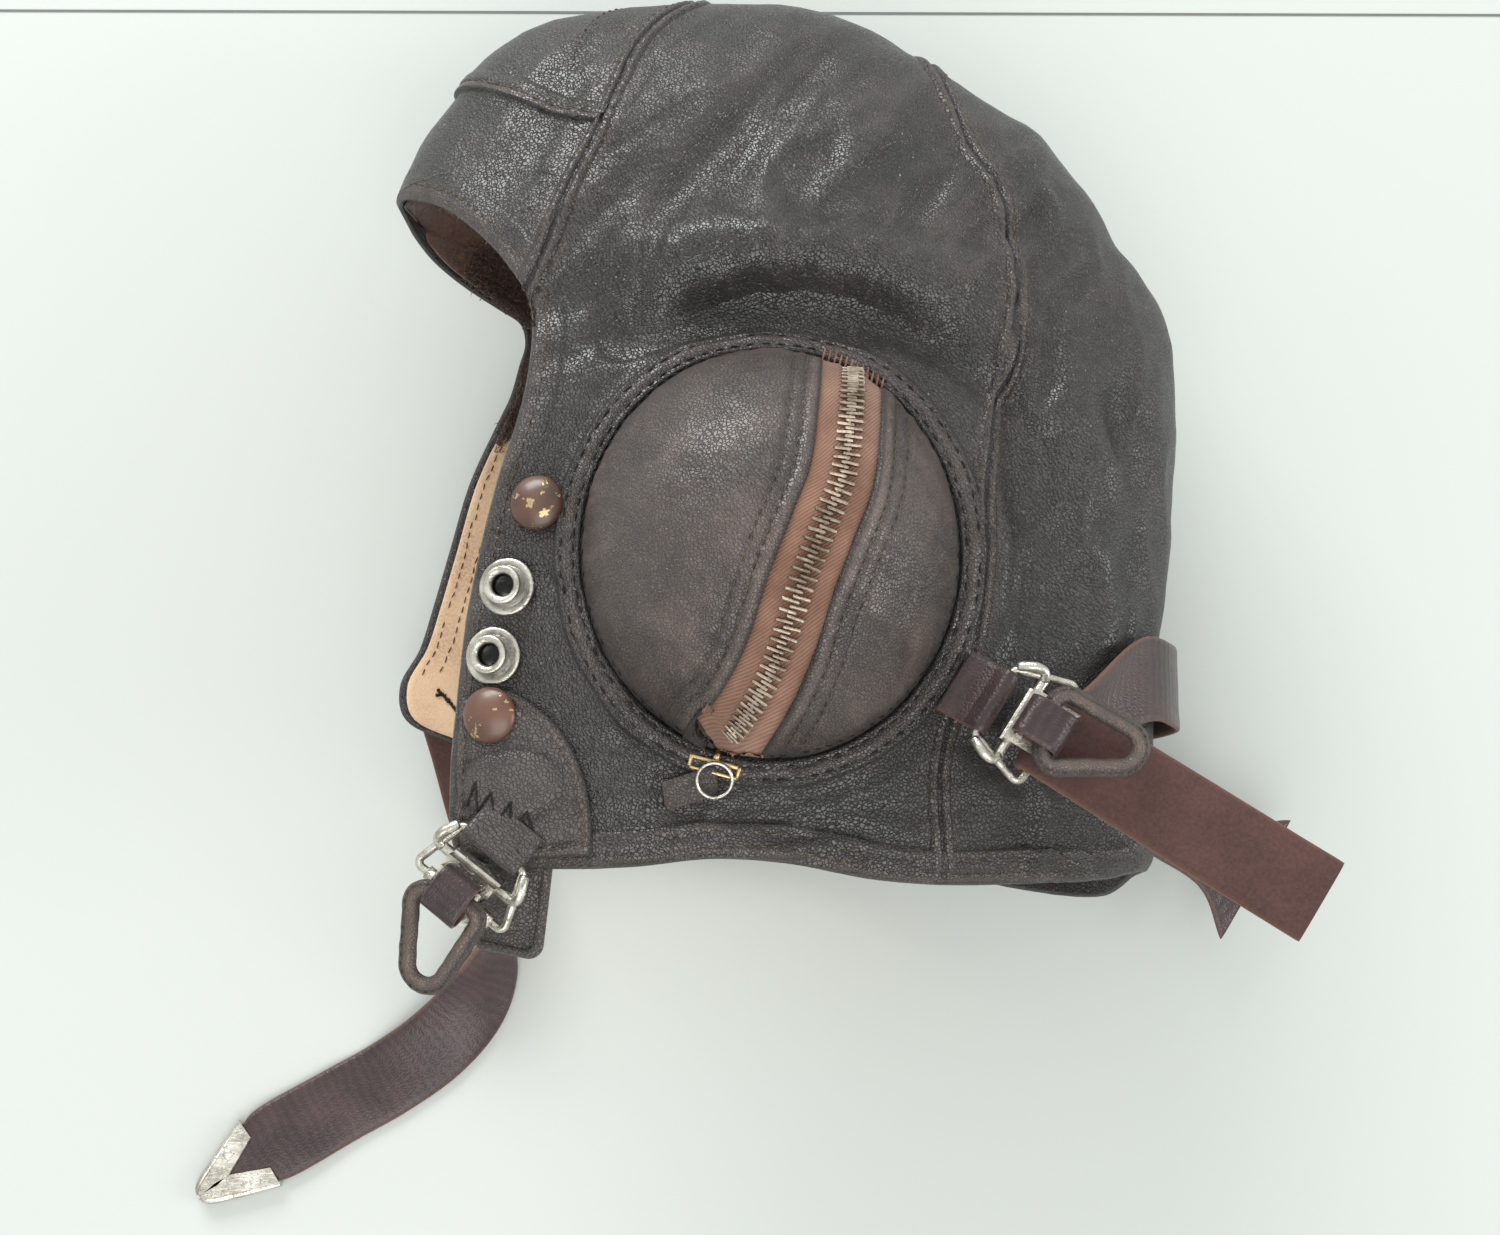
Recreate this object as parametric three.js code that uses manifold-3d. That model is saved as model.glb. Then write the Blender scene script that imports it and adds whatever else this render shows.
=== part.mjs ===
// Leather flying helmet lying on its right side, with its chin strap and nape strap.
// Millimetres, +Z up. The left ear points up, the face looks along -X and the crown is at +Y.
import * as THREE from 'three';
import { mergeVertices } from 'three/addons/utils/BufferGeometryUtils.js';
import Module from 'manifold-3d';

const wasm = await Module();
wasm.setup();

// Shell
const earToCrown = 162;        // from the ear axis to the top of the crown
const leftDepth = 44;          // from the middle plane out to the left side panel
const rightDepth = 60;         // from the middle plane out to the right side panel
const leatherWall = 1.8;
const liningWall = 1.2;
const liningInset = 3.5;       // bare leather margin round the lining
const layerGap = 0.35;         // air between pieces that lie on each other
const liningGap = 1;           // air between the leather and its lining
const seamGap = 0.45;          // air between two panels at a seam
const foldRise = 6;            // height of the strongest fold

// Ear pockets
const pocketHalfLength = 46;
const pocketHalfHeight = 50.8;
const pocketRise = 34;         // left pocket, from its rim to its top
const pressedRise = 4;         // right pocket, pressed flat under the helmet
const pocketWall = 1.6;
const pocketRimGap = 1;
const tapeWidth = 16.5;
const tapeWall = 1.1;
const teethWidth = 6.2;
const teethHeight = 1.5;
const sliderWidth = 12;
const sliderLength = 4.6;
const sliderHeight = 4;
const pullRingRadius = 4.2;
const pullWire = 0.7;
const pullTabLength = 15;
const pullTabWidth = 8;

// Press fasteners
const capDiameter = 13.5;
const capHeight = 3.4;
const studDiameter = 14.2;
const studPostDiameter = 9.6;
const studPostBore = 5.4;
const studHeight = 4.6;

// Buckles
const strapWidth = 21;
const strapWall = 2;
const wireRadius = 1.2;
const strapRoom = 1.6;         // the far bar is this much longer than the strap is wide, each side
const frameReach = 15;         // from the tab bar to the far bar
const pivotReach = 7.5;        // from the tab bar to the lever's pivot bar
const pinGap = 0.35;           // air round a bar in its bore
const tabWidth = 16;
const tabLength = 14;
const tabWall = 1.2;
const leverWidth = 14;
const leverLength = 11.5;
const leverWall = 1.2;
const leverTeeth = 7;
const ringWidth = 20;
const ringLength = 25;
const ringTube = 1.8;
const ringSkew = 17;           // the D-ring hangs aslant in its leather loop
const loopWidth = 9.6;
const loopWall = 1.2;
const patchWall = 1.2;
const guardWidth = 24;
const guardLength = 25;

// Straps
const tipLength = 20.6;        // metal V at the end of the chin strap
const tipLeg = 5.5;
const tipWall = 0.5;
const napeLift = 4.2;          // the nape strap stands off the back panel

const degrees = Math.PI / 180;
const middle = rightDepth + pressedRise;
const rad = (angle) => angle * degrees;
const lerp = (a, b, t) => a + (b - a) * t;
const smooth = (a, b, t) => THREE.MathUtils.smoothstep(t, a, b);
const vec = (x, y, z) => new THREE.Vector3(x, y, z);

// Outline of the shell round the ear axis. Turn is counterclockwise from +X, the reaches are
// shares of earToCrown, and depth is a share of rightDepth. Past the hem and the face edge,
// from -38 to -226, the reach is where the panel would close if it went on.
const outlineRows = [
  { turn: 134, left: 0.903, right: 0.903, depth: 1 },
  { turn: 128, left: 0.952, right: 0.952, depth: 1 },
  { turn: 123, left: 0.984, right: 0.984, depth: 1 },
  { turn: 119, left: 1.019, right: 1.019, depth: 1 },
  { turn: 112, left: 1.042, right: 1.042, depth: 1 },
  { turn: 105, left: 1.027, right: 1.027, depth: 1 },
  { turn: 95, left: 1.008, right: 1.008, depth: 1 },
  { turn: 87, left: 1.001, right: 1.001, depth: 1 },
  { turn: 80, left: 0.974, right: 0.974, depth: 1 },
  { turn: 74, left: 0.937, right: 0.937, depth: 1 },
  { turn: 68, left: 0.915, right: 0.915, depth: 1 },
  { turn: 61, left: 0.904, right: 0.904, depth: 1 },
  { turn: 54, left: 0.865, right: 0.865, depth: 1 },
  { turn: 47, left: 0.836, right: 0.836, depth: 1 },
  { turn: 40, left: 0.811, right: 0.811, depth: 1 },
  { turn: 33, left: 0.79, right: 0.79, depth: 0.98 },
  { turn: 27, left: 0.753, right: 0.753, depth: 0.96 },
  { turn: 21, left: 0.718, right: 0.718, depth: 0.93 },
  { turn: 9, left: 0.666, right: 0.666, depth: 0.84 },
  { turn: -10, left: 0.638, right: 0.638, depth: 0.76 },
  { turn: -23, left: 0.668, right: 0.668, depth: 0.73 },
  { turn: -38, left: 0.758, right: 0.758, depth: 0.73 },
  { turn: -43, left: 0.728, right: 0.82, depth: 0.74 },
  { turn: -55, left: 0.716, right: 0.87, depth: 0.78 },
  { turn: -63, left: 0.719, right: 0.86, depth: 0.84 },
  { turn: -80, left: 0.759, right: 0.86, depth: 0.94 },
  { turn: -96, left: 0.802, right: 0.9, depth: 1 },
  { turn: -120, left: 0.815, right: 0.93, depth: 0.98 },
  { turn: -136, left: 0.813, right: 0.95, depth: 0.94 },
  { turn: -150, left: 0.772, right: 0.95, depth: 0.92 },
  { turn: -165, left: 0.735, right: 0.95, depth: 0.9 },
  { turn: -177, left: 0.735, right: 0.95, depth: 0.9 },
  { turn: -189, left: 0.796, right: 0.95, depth: 0.92 },
  { turn: -204, left: 0.862, right: 0.95, depth: 0.96 },
  { turn: -220, left: 0.889, right: 0.93, depth: 1 },
];

// Open edge of the shell from the nape corner along the hem and up the face to the brow,
// as shares of earToCrown. Ring is the turn on the ear opening that each point looks at, and bend
// bows the line between them toward the crown, as a share of its length.
const edgeRows = [
  { ring: -46, bend: 0, leftX: 0.512, leftY: -0.483, rightX: 0.556, rightY: -0.497 },
  { ring: -56, bend: 0, leftX: 0.407, leftY: -0.488, rightX: 0.432, rightY: -0.485 },
  { ring: -66, bend: 0, leftX: 0.296, leftY: -0.493, rightX: 0.296, rightY: -0.451 },
  { ring: -78, bend: 0, leftX: 0.16, leftY: -0.486, rightX: 0.148, rightY: -0.424 },
  { ring: -90, bend: 0, leftX: 0.028, leftY: -0.463, rightX: 0.012, rightY: -0.4 },
  { ring: -102, bend: 0, leftX: -0.086, leftY: -0.456, rightX: -0.111, rightY: -0.381 },
  { ring: -114, bend: 0, leftX: -0.21, leftY: -0.467, rightX: -0.247, rightY: -0.345 },
  { ring: -126, bend: 0, leftX: -0.34, leftY: -0.469, rightX: -0.383, rightY: -0.3 },
  { ring: -136, bend: 0, leftX: -0.457, leftY: -0.46, rightX: -0.543, rightY: -0.231 },
  { ring: -141, bend: 0, leftX: -0.478, leftY: -0.432, rightX: -0.63, rightY: -0.191 },
  { ring: -148, bend: 0, leftX: -0.483, leftY: -0.34, rightX: -0.642, rightY: -0.136 },
  { ring: -160, bend: 0, leftX: -0.472, leftY: -0.216, rightX: -0.611, rightY: -0.068 },
  { ring: -172, bend: 0, leftX: -0.458, leftY: -0.086, rightX: -0.59, rightY: 0.012 },
  { ring: -184, bend: 0, leftX: -0.437, leftY: 0.019, rightX: -0.565, rightY: 0.117 },
  { ring: -196, bend: 0, leftX: -0.411, leftY: 0.123, rightX: -0.534, rightY: 0.241 },
  { ring: -206, bend: 0, leftX: -0.386, leftY: 0.21, rightX: -0.488, rightY: 0.352 },
  { ring: -213, bend: 0, leftX: -0.372, leftY: 0.278, rightX: -0.463, rightY: 0.407 },
  { ring: -220, bend: 0.04, leftX: -0.367, leftY: 0.346, rightX: -0.448, rightY: 0.457 },
  { ring: -227, bend: 0.1, leftX: -0.377, leftY: 0.417, rightX: -0.438, rightY: 0.5 },
  { ring: -234, bend: 0.17, leftX: -0.407, leftY: 0.469, rightX: -0.448, rightY: 0.537 },
  { ring: -241, bend: 0.23, leftX: -0.454, leftY: 0.528, rightX: -0.488, rightY: 0.559 },
  { ring: -249, bend: 0.29, leftX: -0.519, leftY: 0.59, rightX: -0.543, rightY: 0.586 },
  { ring: -257, bend: 0.33, leftX: -0.574, leftY: 0.623, rightX: -0.593, rightY: 0.617 },
];
const browTurn = 134;
const napeTurn = -38;
const browRing = 97;
const browBend = 0.34;

// Folds and dents of the leather: a ridge from one point to another, as shares of earToCrown,
// and its rise as a share of foldRise (a dent is negative).
const foldRows = [
  { side: 'left', fromX: -0.47, fromY: 0.38, toX: -0.2, toY: 0.43, wide: 0.05, rise: -0.25 },
  { side: 'left', fromX: -0.2, fromY: 0.39, toX: 0.3, toY: 0.36, wide: 0.06, rise: -0.9 },
  { side: 'left', fromX: -0.1, fromY: 0.5, toX: 0.34, toY: 0.43, wide: 0.07, rise: 0.75 },
  { side: 'left', fromX: 0.38, fromY: 0.29, toX: 0.44, toY: -0.04, wide: 0.06, rise: -0.6 },
  { side: 'left', fromX: 0.47, fromY: 0.2, toX: 0.52, toY: -0.1, wide: 0.05, rise: 0.3 },
  { side: 'left', fromX: 0.28, fromY: -0.32, toX: 0.5, toY: -0.3, wide: 0.06, rise: -0.4 },
  { side: 'left', fromX: -0.36, fromY: 0.55, toX: -0.12, toY: 0.84, wide: 0.06, rise: 0.4 },
  { side: 'left', fromX: -0.18, fromY: 0.58, toX: 0.06, toY: 0.82, wide: 0.05, rise: -0.35 },
  { side: 'left', fromX: 0.12, fromY: 0.6, toX: 0.3, toY: 0.86, wide: 0.06, rise: 0.3 },
  { side: 'left', fromX: -0.1, fromY: -0.4, toX: 0.1, toY: -0.4, wide: 0.06, rise: -0.3 },
  { side: 'right', fromX: -0.06, fromY: 0.56, toX: 0.14, toY: 0.56, wide: 0.2, rise: 1.25 },
  { side: 'both', fromX: 0.42, fromY: 0.84, toX: 0.3, toY: 0.7, wide: 0.06, rise: -0.25 },
  { side: 'both', fromX: 0.6, fromY: 0.6, toX: 0.5, toY: 0.45, wide: 0.05, rise: -0.3 },
];

// Value of a column of the outline table at a turn, a smooth curve through the rows.
function outlineAt(turn, column) {
  let t = turn;
  while (t > browTurn) t -= 360;
  while (t <= browTurn - 360) t += 360;
  const count = outlineRows.length;
  const row = (i) => {
    const wrapped = ((i % count) + count) % count;
    const laps = Math.floor(i / count);
    return { turn: outlineRows[wrapped].turn - 360 * laps, value: outlineRows[wrapped][column] };
  };
  let i = 0;
  while (row(i + 1).turn > t) i += 1;
  const [before, a, b, after] = [row(i - 1), row(i), row(i + 1), row(i + 2)];
  const span = b.turn - a.turn;
  const slopeA = (b.value - before.value) / (b.turn - before.turn);
  const slopeB = (after.value - a.value) / (after.turn - a.turn);
  const u = (t - a.turn) / span;
  const rise = u * u * (3 - 2 * u);
  const bend = span * (slopeA * u * (1 - u) * (1 - u) - slopeB * u * u * (1 - u));
  return lerp(a.value, b.value, rise) + bend;
}

// How far out a point is between the ear axis (0) and the outline (1).
function shareOut(side, x, y) {
  const turn = Math.atan2(y, x) / degrees;
  return Math.min(Math.hypot(x, y) / (earToCrown * outlineAt(turn, side)), 1);
}

function foldHeight(side, x, y, out) {
  let height = 0;
  for (const row of foldRows) {
    if (row.side !== 'both' && row.side !== side) continue;
    const from = vec(row.fromX, row.fromY, 0).multiplyScalar(earToCrown);
    const to = vec(row.toX, row.toY, 0).multiplyScalar(earToCrown);
    const near = new THREE.Line3(from, to).closestPointToPoint(vec(x, y, 0), true, vec(0, 0, 0));
    const away = Math.hypot(x - near.x, y - near.y) / (row.wide * earToCrown);
    const fade = row.side === 'both' ? 1 : 1 - out ** 6;
    height += fade * row.rise * foldRise * Math.exp(-away * away);
  }
  return height;
}

// Point of the outer leather surface over the plan point x, y.
const rightRoundness = 2.5;
function surface(side, x, y) {
  const out = shareOut(side, x, y);
  const turn = Math.atan2(y, x) / degrees;
  const isLeft = side === 'left';
  const share = lerp(1, outlineAt(turn, 'depth'), smooth(0.3, 0.65, out));
  const left = leftDepth * Math.sqrt(1 - out * out);
  const right = rightDepth * share * (1 - out ** rightRoundness) ** (1 / rightRoundness);
  const up = isLeft ? left : -right;
  const lean = out ** 1.5;
  const rise = foldHeight(side, x, y, out);
  const flat = Math.sqrt(1 - lean * lean) * (isLeft ? 1 : -1);
  const direction = vec(Math.cos(rad(turn)) * lean, Math.sin(rad(turn)) * lean, flat);
  return vec(x, y, middle + up).addScaledVector(direction, rise);
}

function surfaceNormal(side, x, y) {
  const step = 1.5;
  const alongX = surface(side, x + step, y).sub(surface(side, x - step, y));
  const alongY = surface(side, x, y + step).sub(surface(side, x, y - step));
  const normal = alongX.cross(alongY).normalize();
  return side === 'left' ? normal : normal.negate();
}

// How far the shell rises over a plane through foot, within a footprint centred on it.
function bumpUnder(side, foot, [xAxis, yAxis, normal], [length, width]) {
  let bump = 0;
  for (const u of [-0.5, -0.25, 0, 0.25, 0.5]) {
    for (const v of [-0.5, -0.25, 0, 0.25, 0.5]) {
      const spot = foot.clone().addScaledVector(xAxis, u * length).addScaledVector(yAxis, v * width);
      bump = Math.max(bump, surface(side, spot.x, spot.y).sub(foot).dot(normal));
    }
  }
  return bump;
}

// Group that sits on the shell at a plan point, its +Z along the surface's outward normal and
// its +X turned in plan. A flat foot of length by width clears every bump under it.
function seatGroup(side, x, y, lift, turn, length = 0, width = 0) {
  const normal = surfaceNormal(side, x, y);
  const ahead = vec(Math.cos(rad(turn)), Math.sin(rad(turn)), 0);
  const yAxis = normal.clone().cross(ahead).normalize();
  const xAxis = yAxis.clone().cross(normal);
  const seat = new THREE.Group();
  const foot = surface(side, x, y);
  const bump = lift > 0 ? bumpUnder(side, foot, [xAxis, yAxis, normal], [length, width]) : 0;
  seat.position.copy(foot).addScaledVector(normal, lift + bump);
  seat.quaternion.setFromRotationMatrix(new THREE.Matrix4().makeBasis(xAxis, yAxis, normal));
  seat.updateMatrixWorld(true);
  return seat;
}

// Sheets: an open surface of points and faces is given a thickness along its normals
function sheetNormals(points, faces) {
  const normals = points.map(() => vec(0, 0, 0));
  for (const [a, b, c] of faces) {
    const normal = points[b].clone().sub(points[a]).cross(points[c].clone().sub(points[a]));
    for (const corner of [a, b, c]) normals[corner].add(normal);
  }
  return normals.map((normal) => normal.normalize());
}

function solidGeometry(points, faces) {
  const geometry = new THREE.BufferGeometry();
  const numbers = points.flatMap((point) => [point.x, point.y, point.z]);
  geometry.setAttribute('position', new THREE.Float32BufferAttribute(numbers, 3));
  geometry.setIndex(faces.flat());
  return geometry;
}

function thickSheet({ points, faces, normals = sheetNormals(points, faces) }, outerLift, innerLift) {
  const lifted = (lift) => points.map((point, i) => point.clone().addScaledVector(normals[i], lift));
  const count = points.length;
  const all = [...faces];
  const edges = new Map();
  for (const [a, b, c] of faces) {
    all.push([count + c, count + b, count + a]);
    for (const [from, to] of [[a, b], [b, c], [c, a]]) {
      if (!edges.delete(`${to},${from}`)) edges.set(`${from},${to}`, [from, to]);
    }
  }
  for (const [from, to] of edges.values()) {
    all.push([to, from, count + from]);
    all.push([to, count + from, count + to]);
  }
  return solidGeometry([...lifted(outerLift), ...lifted(innerLift)], all);
}

// Grid of points as a sheet: rows of equal length, facing along (row step) x (column step).
function gridSheet(rows) {
  const columns = rows[0].length;
  const faces = [];
  for (let i = 0; i + 1 < rows.length; i += 1) {
    for (let j = 0; j + 1 < columns; j += 1) {
      const a = i * columns + j;
      faces.push([a, a + columns, a + columns + 1], [a, a + columns + 1, a + 1]);
    }
  }
  return { points: rows.flat(), faces };
}

// Joins and cuts
function toSolid(geometry) {
  const bare = geometry.clone();
  bare.deleteAttribute('normal');
  bare.deleteAttribute('uv');
  const merged = mergeVertices(bare, 1e-4);
  const vertProperties = new Float32Array(merged.getAttribute('position').array);
  const triVerts = new Uint32Array(merged.getIndex().array);
  return new wasm.Manifold(new wasm.Mesh({ numProp: 3, vertProperties, triVerts }));
}

function toGeometry(solid) {
  const { vertProperties, triVerts } = solid.getMesh();
  const geometry = new THREE.BufferGeometry();
  geometry.setAttribute('position', new THREE.BufferAttribute(new Float32Array(vertProperties), 3));
  geometry.setIndex(new THREE.BufferAttribute(new Uint32Array(triVerts), 1));
  return geometry;
}

const join = (geometries) => toGeometry(geometries.map(toSolid).reduce((a, b) => a.add(b)));
const subtract = (geometry, tool) => toGeometry(toSolid(geometry).subtract(toSolid(tool)));

// Upright prism over a plan outline, tall enough to pass right through the helmet.
function prism(outline, low = -earToCrown, high = earToCrown * 2) {
  const shape = new THREE.Shape(outline.map(([x, y]) => new THREE.Vector2(x, y)));
  const geometry = new THREE.ExtrudeGeometry(shape, { depth: high - low, bevelEnabled: false });
  return geometry.translate(0, 0, low);
}

// Plan outline of a band along a line of points.
function bandOutline(line, width) {
  const sides = [[], []];
  line.forEach(([x, y], i) => {
    const [px, py] = line[Math.max(i - 1, 0)];
    const [nx, ny] = line[Math.min(i + 1, line.length - 1)];
    const size = Math.hypot(nx - px, ny - py);
    const across = [(-(ny - py) / size) * width * 0.5, ((nx - px) / size) * width * 0.5];
    sides[0].push([x + across[0], y + across[1]]);
    sides[1].unshift([x - across[0], y - across[1]]);
  });
  return [...sides[0], ...sides[1]].reverse();
}

// Smooth line through the points of a table.
function smoothLine(points, count) {
  const curve = new THREE.CatmullRomCurve3(points.map(([x, y]) => vec(x, y, 0)), false, 'centripetal');
  return curve.getPoints(count).map((point) => [point.x, point.y]);
}

const helmet = new THREE.Group();
function material(color, roughness, metalness = 0) {
  return new THREE.MeshStandardMaterial({ color, roughness, metalness });
}
const shellLeather = material(0x2b2320, 0.45);
const pocketLeather = material(0x3a2c27, 0.55);
const strapLeather = material(0x3c2325, 0.4);
const chamois = material(0xd9c3a0, 0.9);
const pile = material(0x4a342b, 0.95);
const twill = material(0x7a4a35, 0.85);
const nickel = material(0xb8b2a2, 0.35, 1);
const agedBrass = material(0x8a7350, 0.4, 1);
const lacquer = material(0x4b2a20, 0.3);

function add(parent, name, geometry, look) {
  const mesh = new THREE.Mesh(geometry, look);
  mesh.name = name;
  parent.add(mesh);
  return mesh;
}

// Shell: rows of points run from each ear opening to the rim; along the closed arc over the
// crown the two sides meet on the middle plane.
const closedSteps = 17;
const openSteps = 16;
const shellRows = 5;
function shellStations() {
  const stations = [];
  for (let i = 0; i <= closedSteps; i += 1) {
    const t = i / closedSteps;
    const turn = lerp(browTurn, napeTurn, t);
    const reach = earToCrown * outlineAt(turn, 'left');
    const rim = [Math.cos(rad(turn)) * reach, Math.sin(rad(turn)) * reach];
    const bend = browBend * (1 - smooth(0, 0.45, t));
    stations.push({ ring: lerp(browRing, napeTurn, t), left: rim, right: rim, closed: true, bend });
  }
  const first = stations[closedSteps];
  const last = { ...stations[0], ring: browRing - 360 };
  const rows = edgeRows.map((row) => ({
    ring: row.ring,
    bend: row.bend,
    left: [row.leftX * earToCrown, row.leftY * earToCrown],
    right: [row.rightX * earToCrown, row.rightY * earToCrown],
  }));
  const table = [first, ...rows, last];
  const curve = (side) => new THREE.CatmullRomCurve3(
    table.map((row) => vec(row[side][0], row[side][1], row.ring)), false, 'centripetal');
  const leftLine = curve('left');
  const rightLine = curve('right');
  for (let i = 1; i < openSteps; i += 1) {
    const left = leftLine.getPoint(i / openSteps);
    const right = rightLine.getPoint(i / openSteps);
    const place = (i / openSteps) * (table.length - 1);
    const row = Math.floor(place);
    const bend = lerp(table[row].bend, table[row + 1].bend, place - row);
    stations.push({ ring: left.z, left: [left.x, left.y], right: [right.x, right.y], closed: false, bend });
  }
  return stations;
}

// Sheet of both sides. With isClosed the ear openings are closed too, and the rim of the open
// edge is drawn in by inset. Both kinds share their points, so that lining and leather nest.
const capRows = [0, 0.55];
function shellSheet(isClosed, inset) {
  const stations = shellStations();
  const points = [];
  const faces = [];
  const capFaces = [];
  const index = { left: [], right: [] };
  const last = capRows.length + shellRows;
  for (const side of ['left', 'right']) {
    stations.forEach((station, i) => {
      const ringX = Math.cos(rad(station.ring)) * (pocketHalfLength + pocketRimGap);
      const ringY = Math.sin(rad(station.ring)) * (pocketHalfHeight + pocketRimGap);
      const [rimX, rimY] = station[side];
      const full = Math.asin(shareOut(side, rimX, rimY));
      const midX = lerp(ringX, rimX, 0.5) + (rimY - ringY) * station.bend;
      const midY = lerp(ringY, rimY, 0.5) - (rimX - ringX) * station.bend;
      const bow = (a, b, c, t) => lerp(lerp(a, b, t), lerp(b, c, t), t);
      const column = capRows.map((scale, j) => {
        if (scale === 0 && i > 0) return index[side][0][j];
        points.push(surface(side, ringX * scale, ringY * scale));
        return points.length - 1;
      });
      for (let j = 0; j <= shellRows; j += 1) {
        if (j === shellRows && station.closed && side === 'right') {
          column.push(index.left[i][last]);
          continue;
        }
        const along = Math.sin((j / shellRows) * full) / Math.sin(full);
        column.push(points.length);
        points.push(surface(side, bow(ringX, midX, rimX, along), bow(ringY, midY, rimY, along)));
      }
      index[side].push(column);
    });
    const columns = index[side];
    for (let i = 0; i < stations.length; i += 1) {
      const here = columns[i];
      const next = columns[(i + 1) % stations.length];
      for (let j = 0; j < last; j += 1) {
        const quad = [[here[j], next[j], next[j + 1]], [here[j], next[j + 1], here[j + 1]]];
        for (const face of quad) {
          if (new Set(face).size < 3) continue;
          const target = j < capRows.length ? capFaces : faces;
          target.push(side === 'left' ? face : [...face].reverse());
        }
      }
    }
  }
  const normals = sheetNormals(points, [...capFaces, ...faces]);
  if (!isClosed) return dropUnused({ points, faces, normals });
  const before = points.map((point) => point.clone());
  const drawIn = (point, toward) => {
    const step = before[toward].clone().sub(before[point]).setLength(inset);
    points[point].copy(before[point]).add(step).addScaledVector(normals[point], -3 * layerGap);
  };
  for (const side of ['left', 'right']) {
    stations.forEach((station, i) => {
      if (!station.closed) drawIn(index[side][i][last], index[side][i][last - 1]);
    });
  }
  drawIn(index.left[0][last], index.left[1][last]);
  drawIn(index.left[closedSteps][last], index.left[closedSteps - 1][last]);
  return { points, faces: [...capFaces, ...faces], normals };
}

// Sheet without the points that no face uses.
function dropUnused({ points, faces, normals }) {
  const used = [...new Set(faces.flat())].sort((a, b) => a - b);
  const place = new Map(used.map((old, i) => [old, i]));
  const pick = (list) => used.map((i) => list[i]);
  const moved = faces.map((face) => face.map((i) => place.get(i)));
  return { points: pick(points), faces: moved, normals: pick(normals) };
}

// Seam lines in plan, as shares of earToCrown
const frontSeam = [
  [-0.9, 0.2], [-0.5, 0.31], [-0.43, 0.36], [-0.39, 0.411], [-0.368, 0.452], [-0.331, 0.536], [-0.301, 0.617],
  [-0.264, 0.704], [-0.241, 0.79], [-0.215, 0.875], [-0.175, 0.943], [-0.117, 1], [-0.06, 1.2],
];
const browSeam = [[-0.264, 0.704], [-0.314, 0.722], [-0.364, 0.746], [-0.425, 0.781], [-0.493, 0.819], [-0.8, 0.95]];
const rearSeam = [
  [0.2, 1.2], [0.268, 0.89], [0.301, 0.781], [0.333, 0.683], [0.367, 0.6], [0.377, 0.49], [0.38, 0.356],
  [0.375, 0.295], [0.357, 0.251], [0.335, 0.151], [0.327, 0.054], [0.325, -0.009], [0.313, -0.102],
  [0.292, -0.19], [0.267, -0.268], [0.254, -0.342], [0.254, -0.415], [0.26, -0.52], [0.27, -0.8],
];
const scaled = (line) => line.map(([x, y]) => [x * earToCrown, y * earToCrown]);
const farOut = 2 * earToCrown;

function shellRegions() {
  const front = scaled(frontSeam);
  const brow = scaled(browSeam);
  const rear = scaled(rearSeam);
  const meet = frontSeam.findIndex(([x, y]) => x === browSeam[0][0] && y === browSeam[0][1]);
  const lower = front.slice(0, meet + 1);
  const upper = front.slice(meet);
  return {
    brow_panel: [...lower, ...brow.slice(1), [-farOut, brow.at(-1)[1]], [-farOut, lower[0][1]]],
    crown_front_panel: [...upper, [-farOut, farOut], [-farOut, brow.at(-1)[1]], ...brow.slice(1).reverse()],
    middle_panel: [...front, ...rear, [rear.at(-1)[0], -farOut], [-farOut, -farOut], [-farOut, front[0][1]]],
    back_panel: [...rear, [rear.at(-1)[0], -farOut], [farOut, -farOut], [farOut, farOut], [rear[0][0], farOut]],
  };
}

const seamBlades = [frontSeam, browSeam, rearSeam]
  .map((line) => toSolid(prism(bandOutline(scaled(line), seamGap))))
  .reduce((a, b) => a.add(b));

// Largest piece of a solid that a cut may have left in crumbs.
function largest(solid) {
  return solid.decompose().sort((a, b) => b.volume() - a.volume())[0];
}

function addPanels() {
  const shell = toSolid(thickSheet(shellSheet(false, 0), 0, -leatherWall));
  for (const [name, outline] of Object.entries(shellRegions())) {
    const region = toSolid(prism(outline)).subtract(seamBlades);
    add(helmet, name, toGeometry(largest(shell.intersect(region))), shellLeather);
  }
}

// Lining: dark pile behind the brow and the crown front, pale chamois behind the rest
function addLinings() {
  const outer = -leatherWall - liningGap;
  const lining = toSolid(thickSheet(shellSheet(true, liningInset), outer, outer - liningWall));
  const regions = shellRegions();
  const blade = toSolid(prism(bandOutline(scaled(frontSeam), seamGap)));
  const front = toSolid(prism(regions.brow_panel)).add(toSolid(prism(regions.crown_front_panel)));
  add(helmet, 'brow_lining', toGeometry(largest(lining.intersect(front.subtract(blade)))), pile);
  add(helmet, 'cheek_lining', toGeometry(largest(lining.subtract(front).subtract(blade))), chamois);
}

// Ear pocket: a moulded dome of two halves with a zip between them. Out is 0 at the middle
// and 1 at the rim, and the right pocket is pressed flat by the surface that it lies on.
const pressedFlat = 0.72;
function pocketPoint(side, turn, out) {
  const x = Math.cos(rad(turn)) * pocketHalfLength;
  const y = Math.sin(rad(turn)) * pocketHalfHeight;
  const rim = surface(side, x * (1 + pocketRimGap / pocketHalfLength), y * (1 + pocketRimGap / pocketHalfHeight));
  if (side === 'right') {
    const drop = rim.z * (1 - smooth(pressedFlat, 1.02, out));
    return vec(x * out, y * out, rim.z - drop);
  }
  const crown = pocketRise * (1 - out ** 2.2) ** 0.62;
  const base = lerp(surface(side, 0, 0).z, rim.z, out ** 3);
  return vec(x * out, y * out, base + crown);
}

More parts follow.
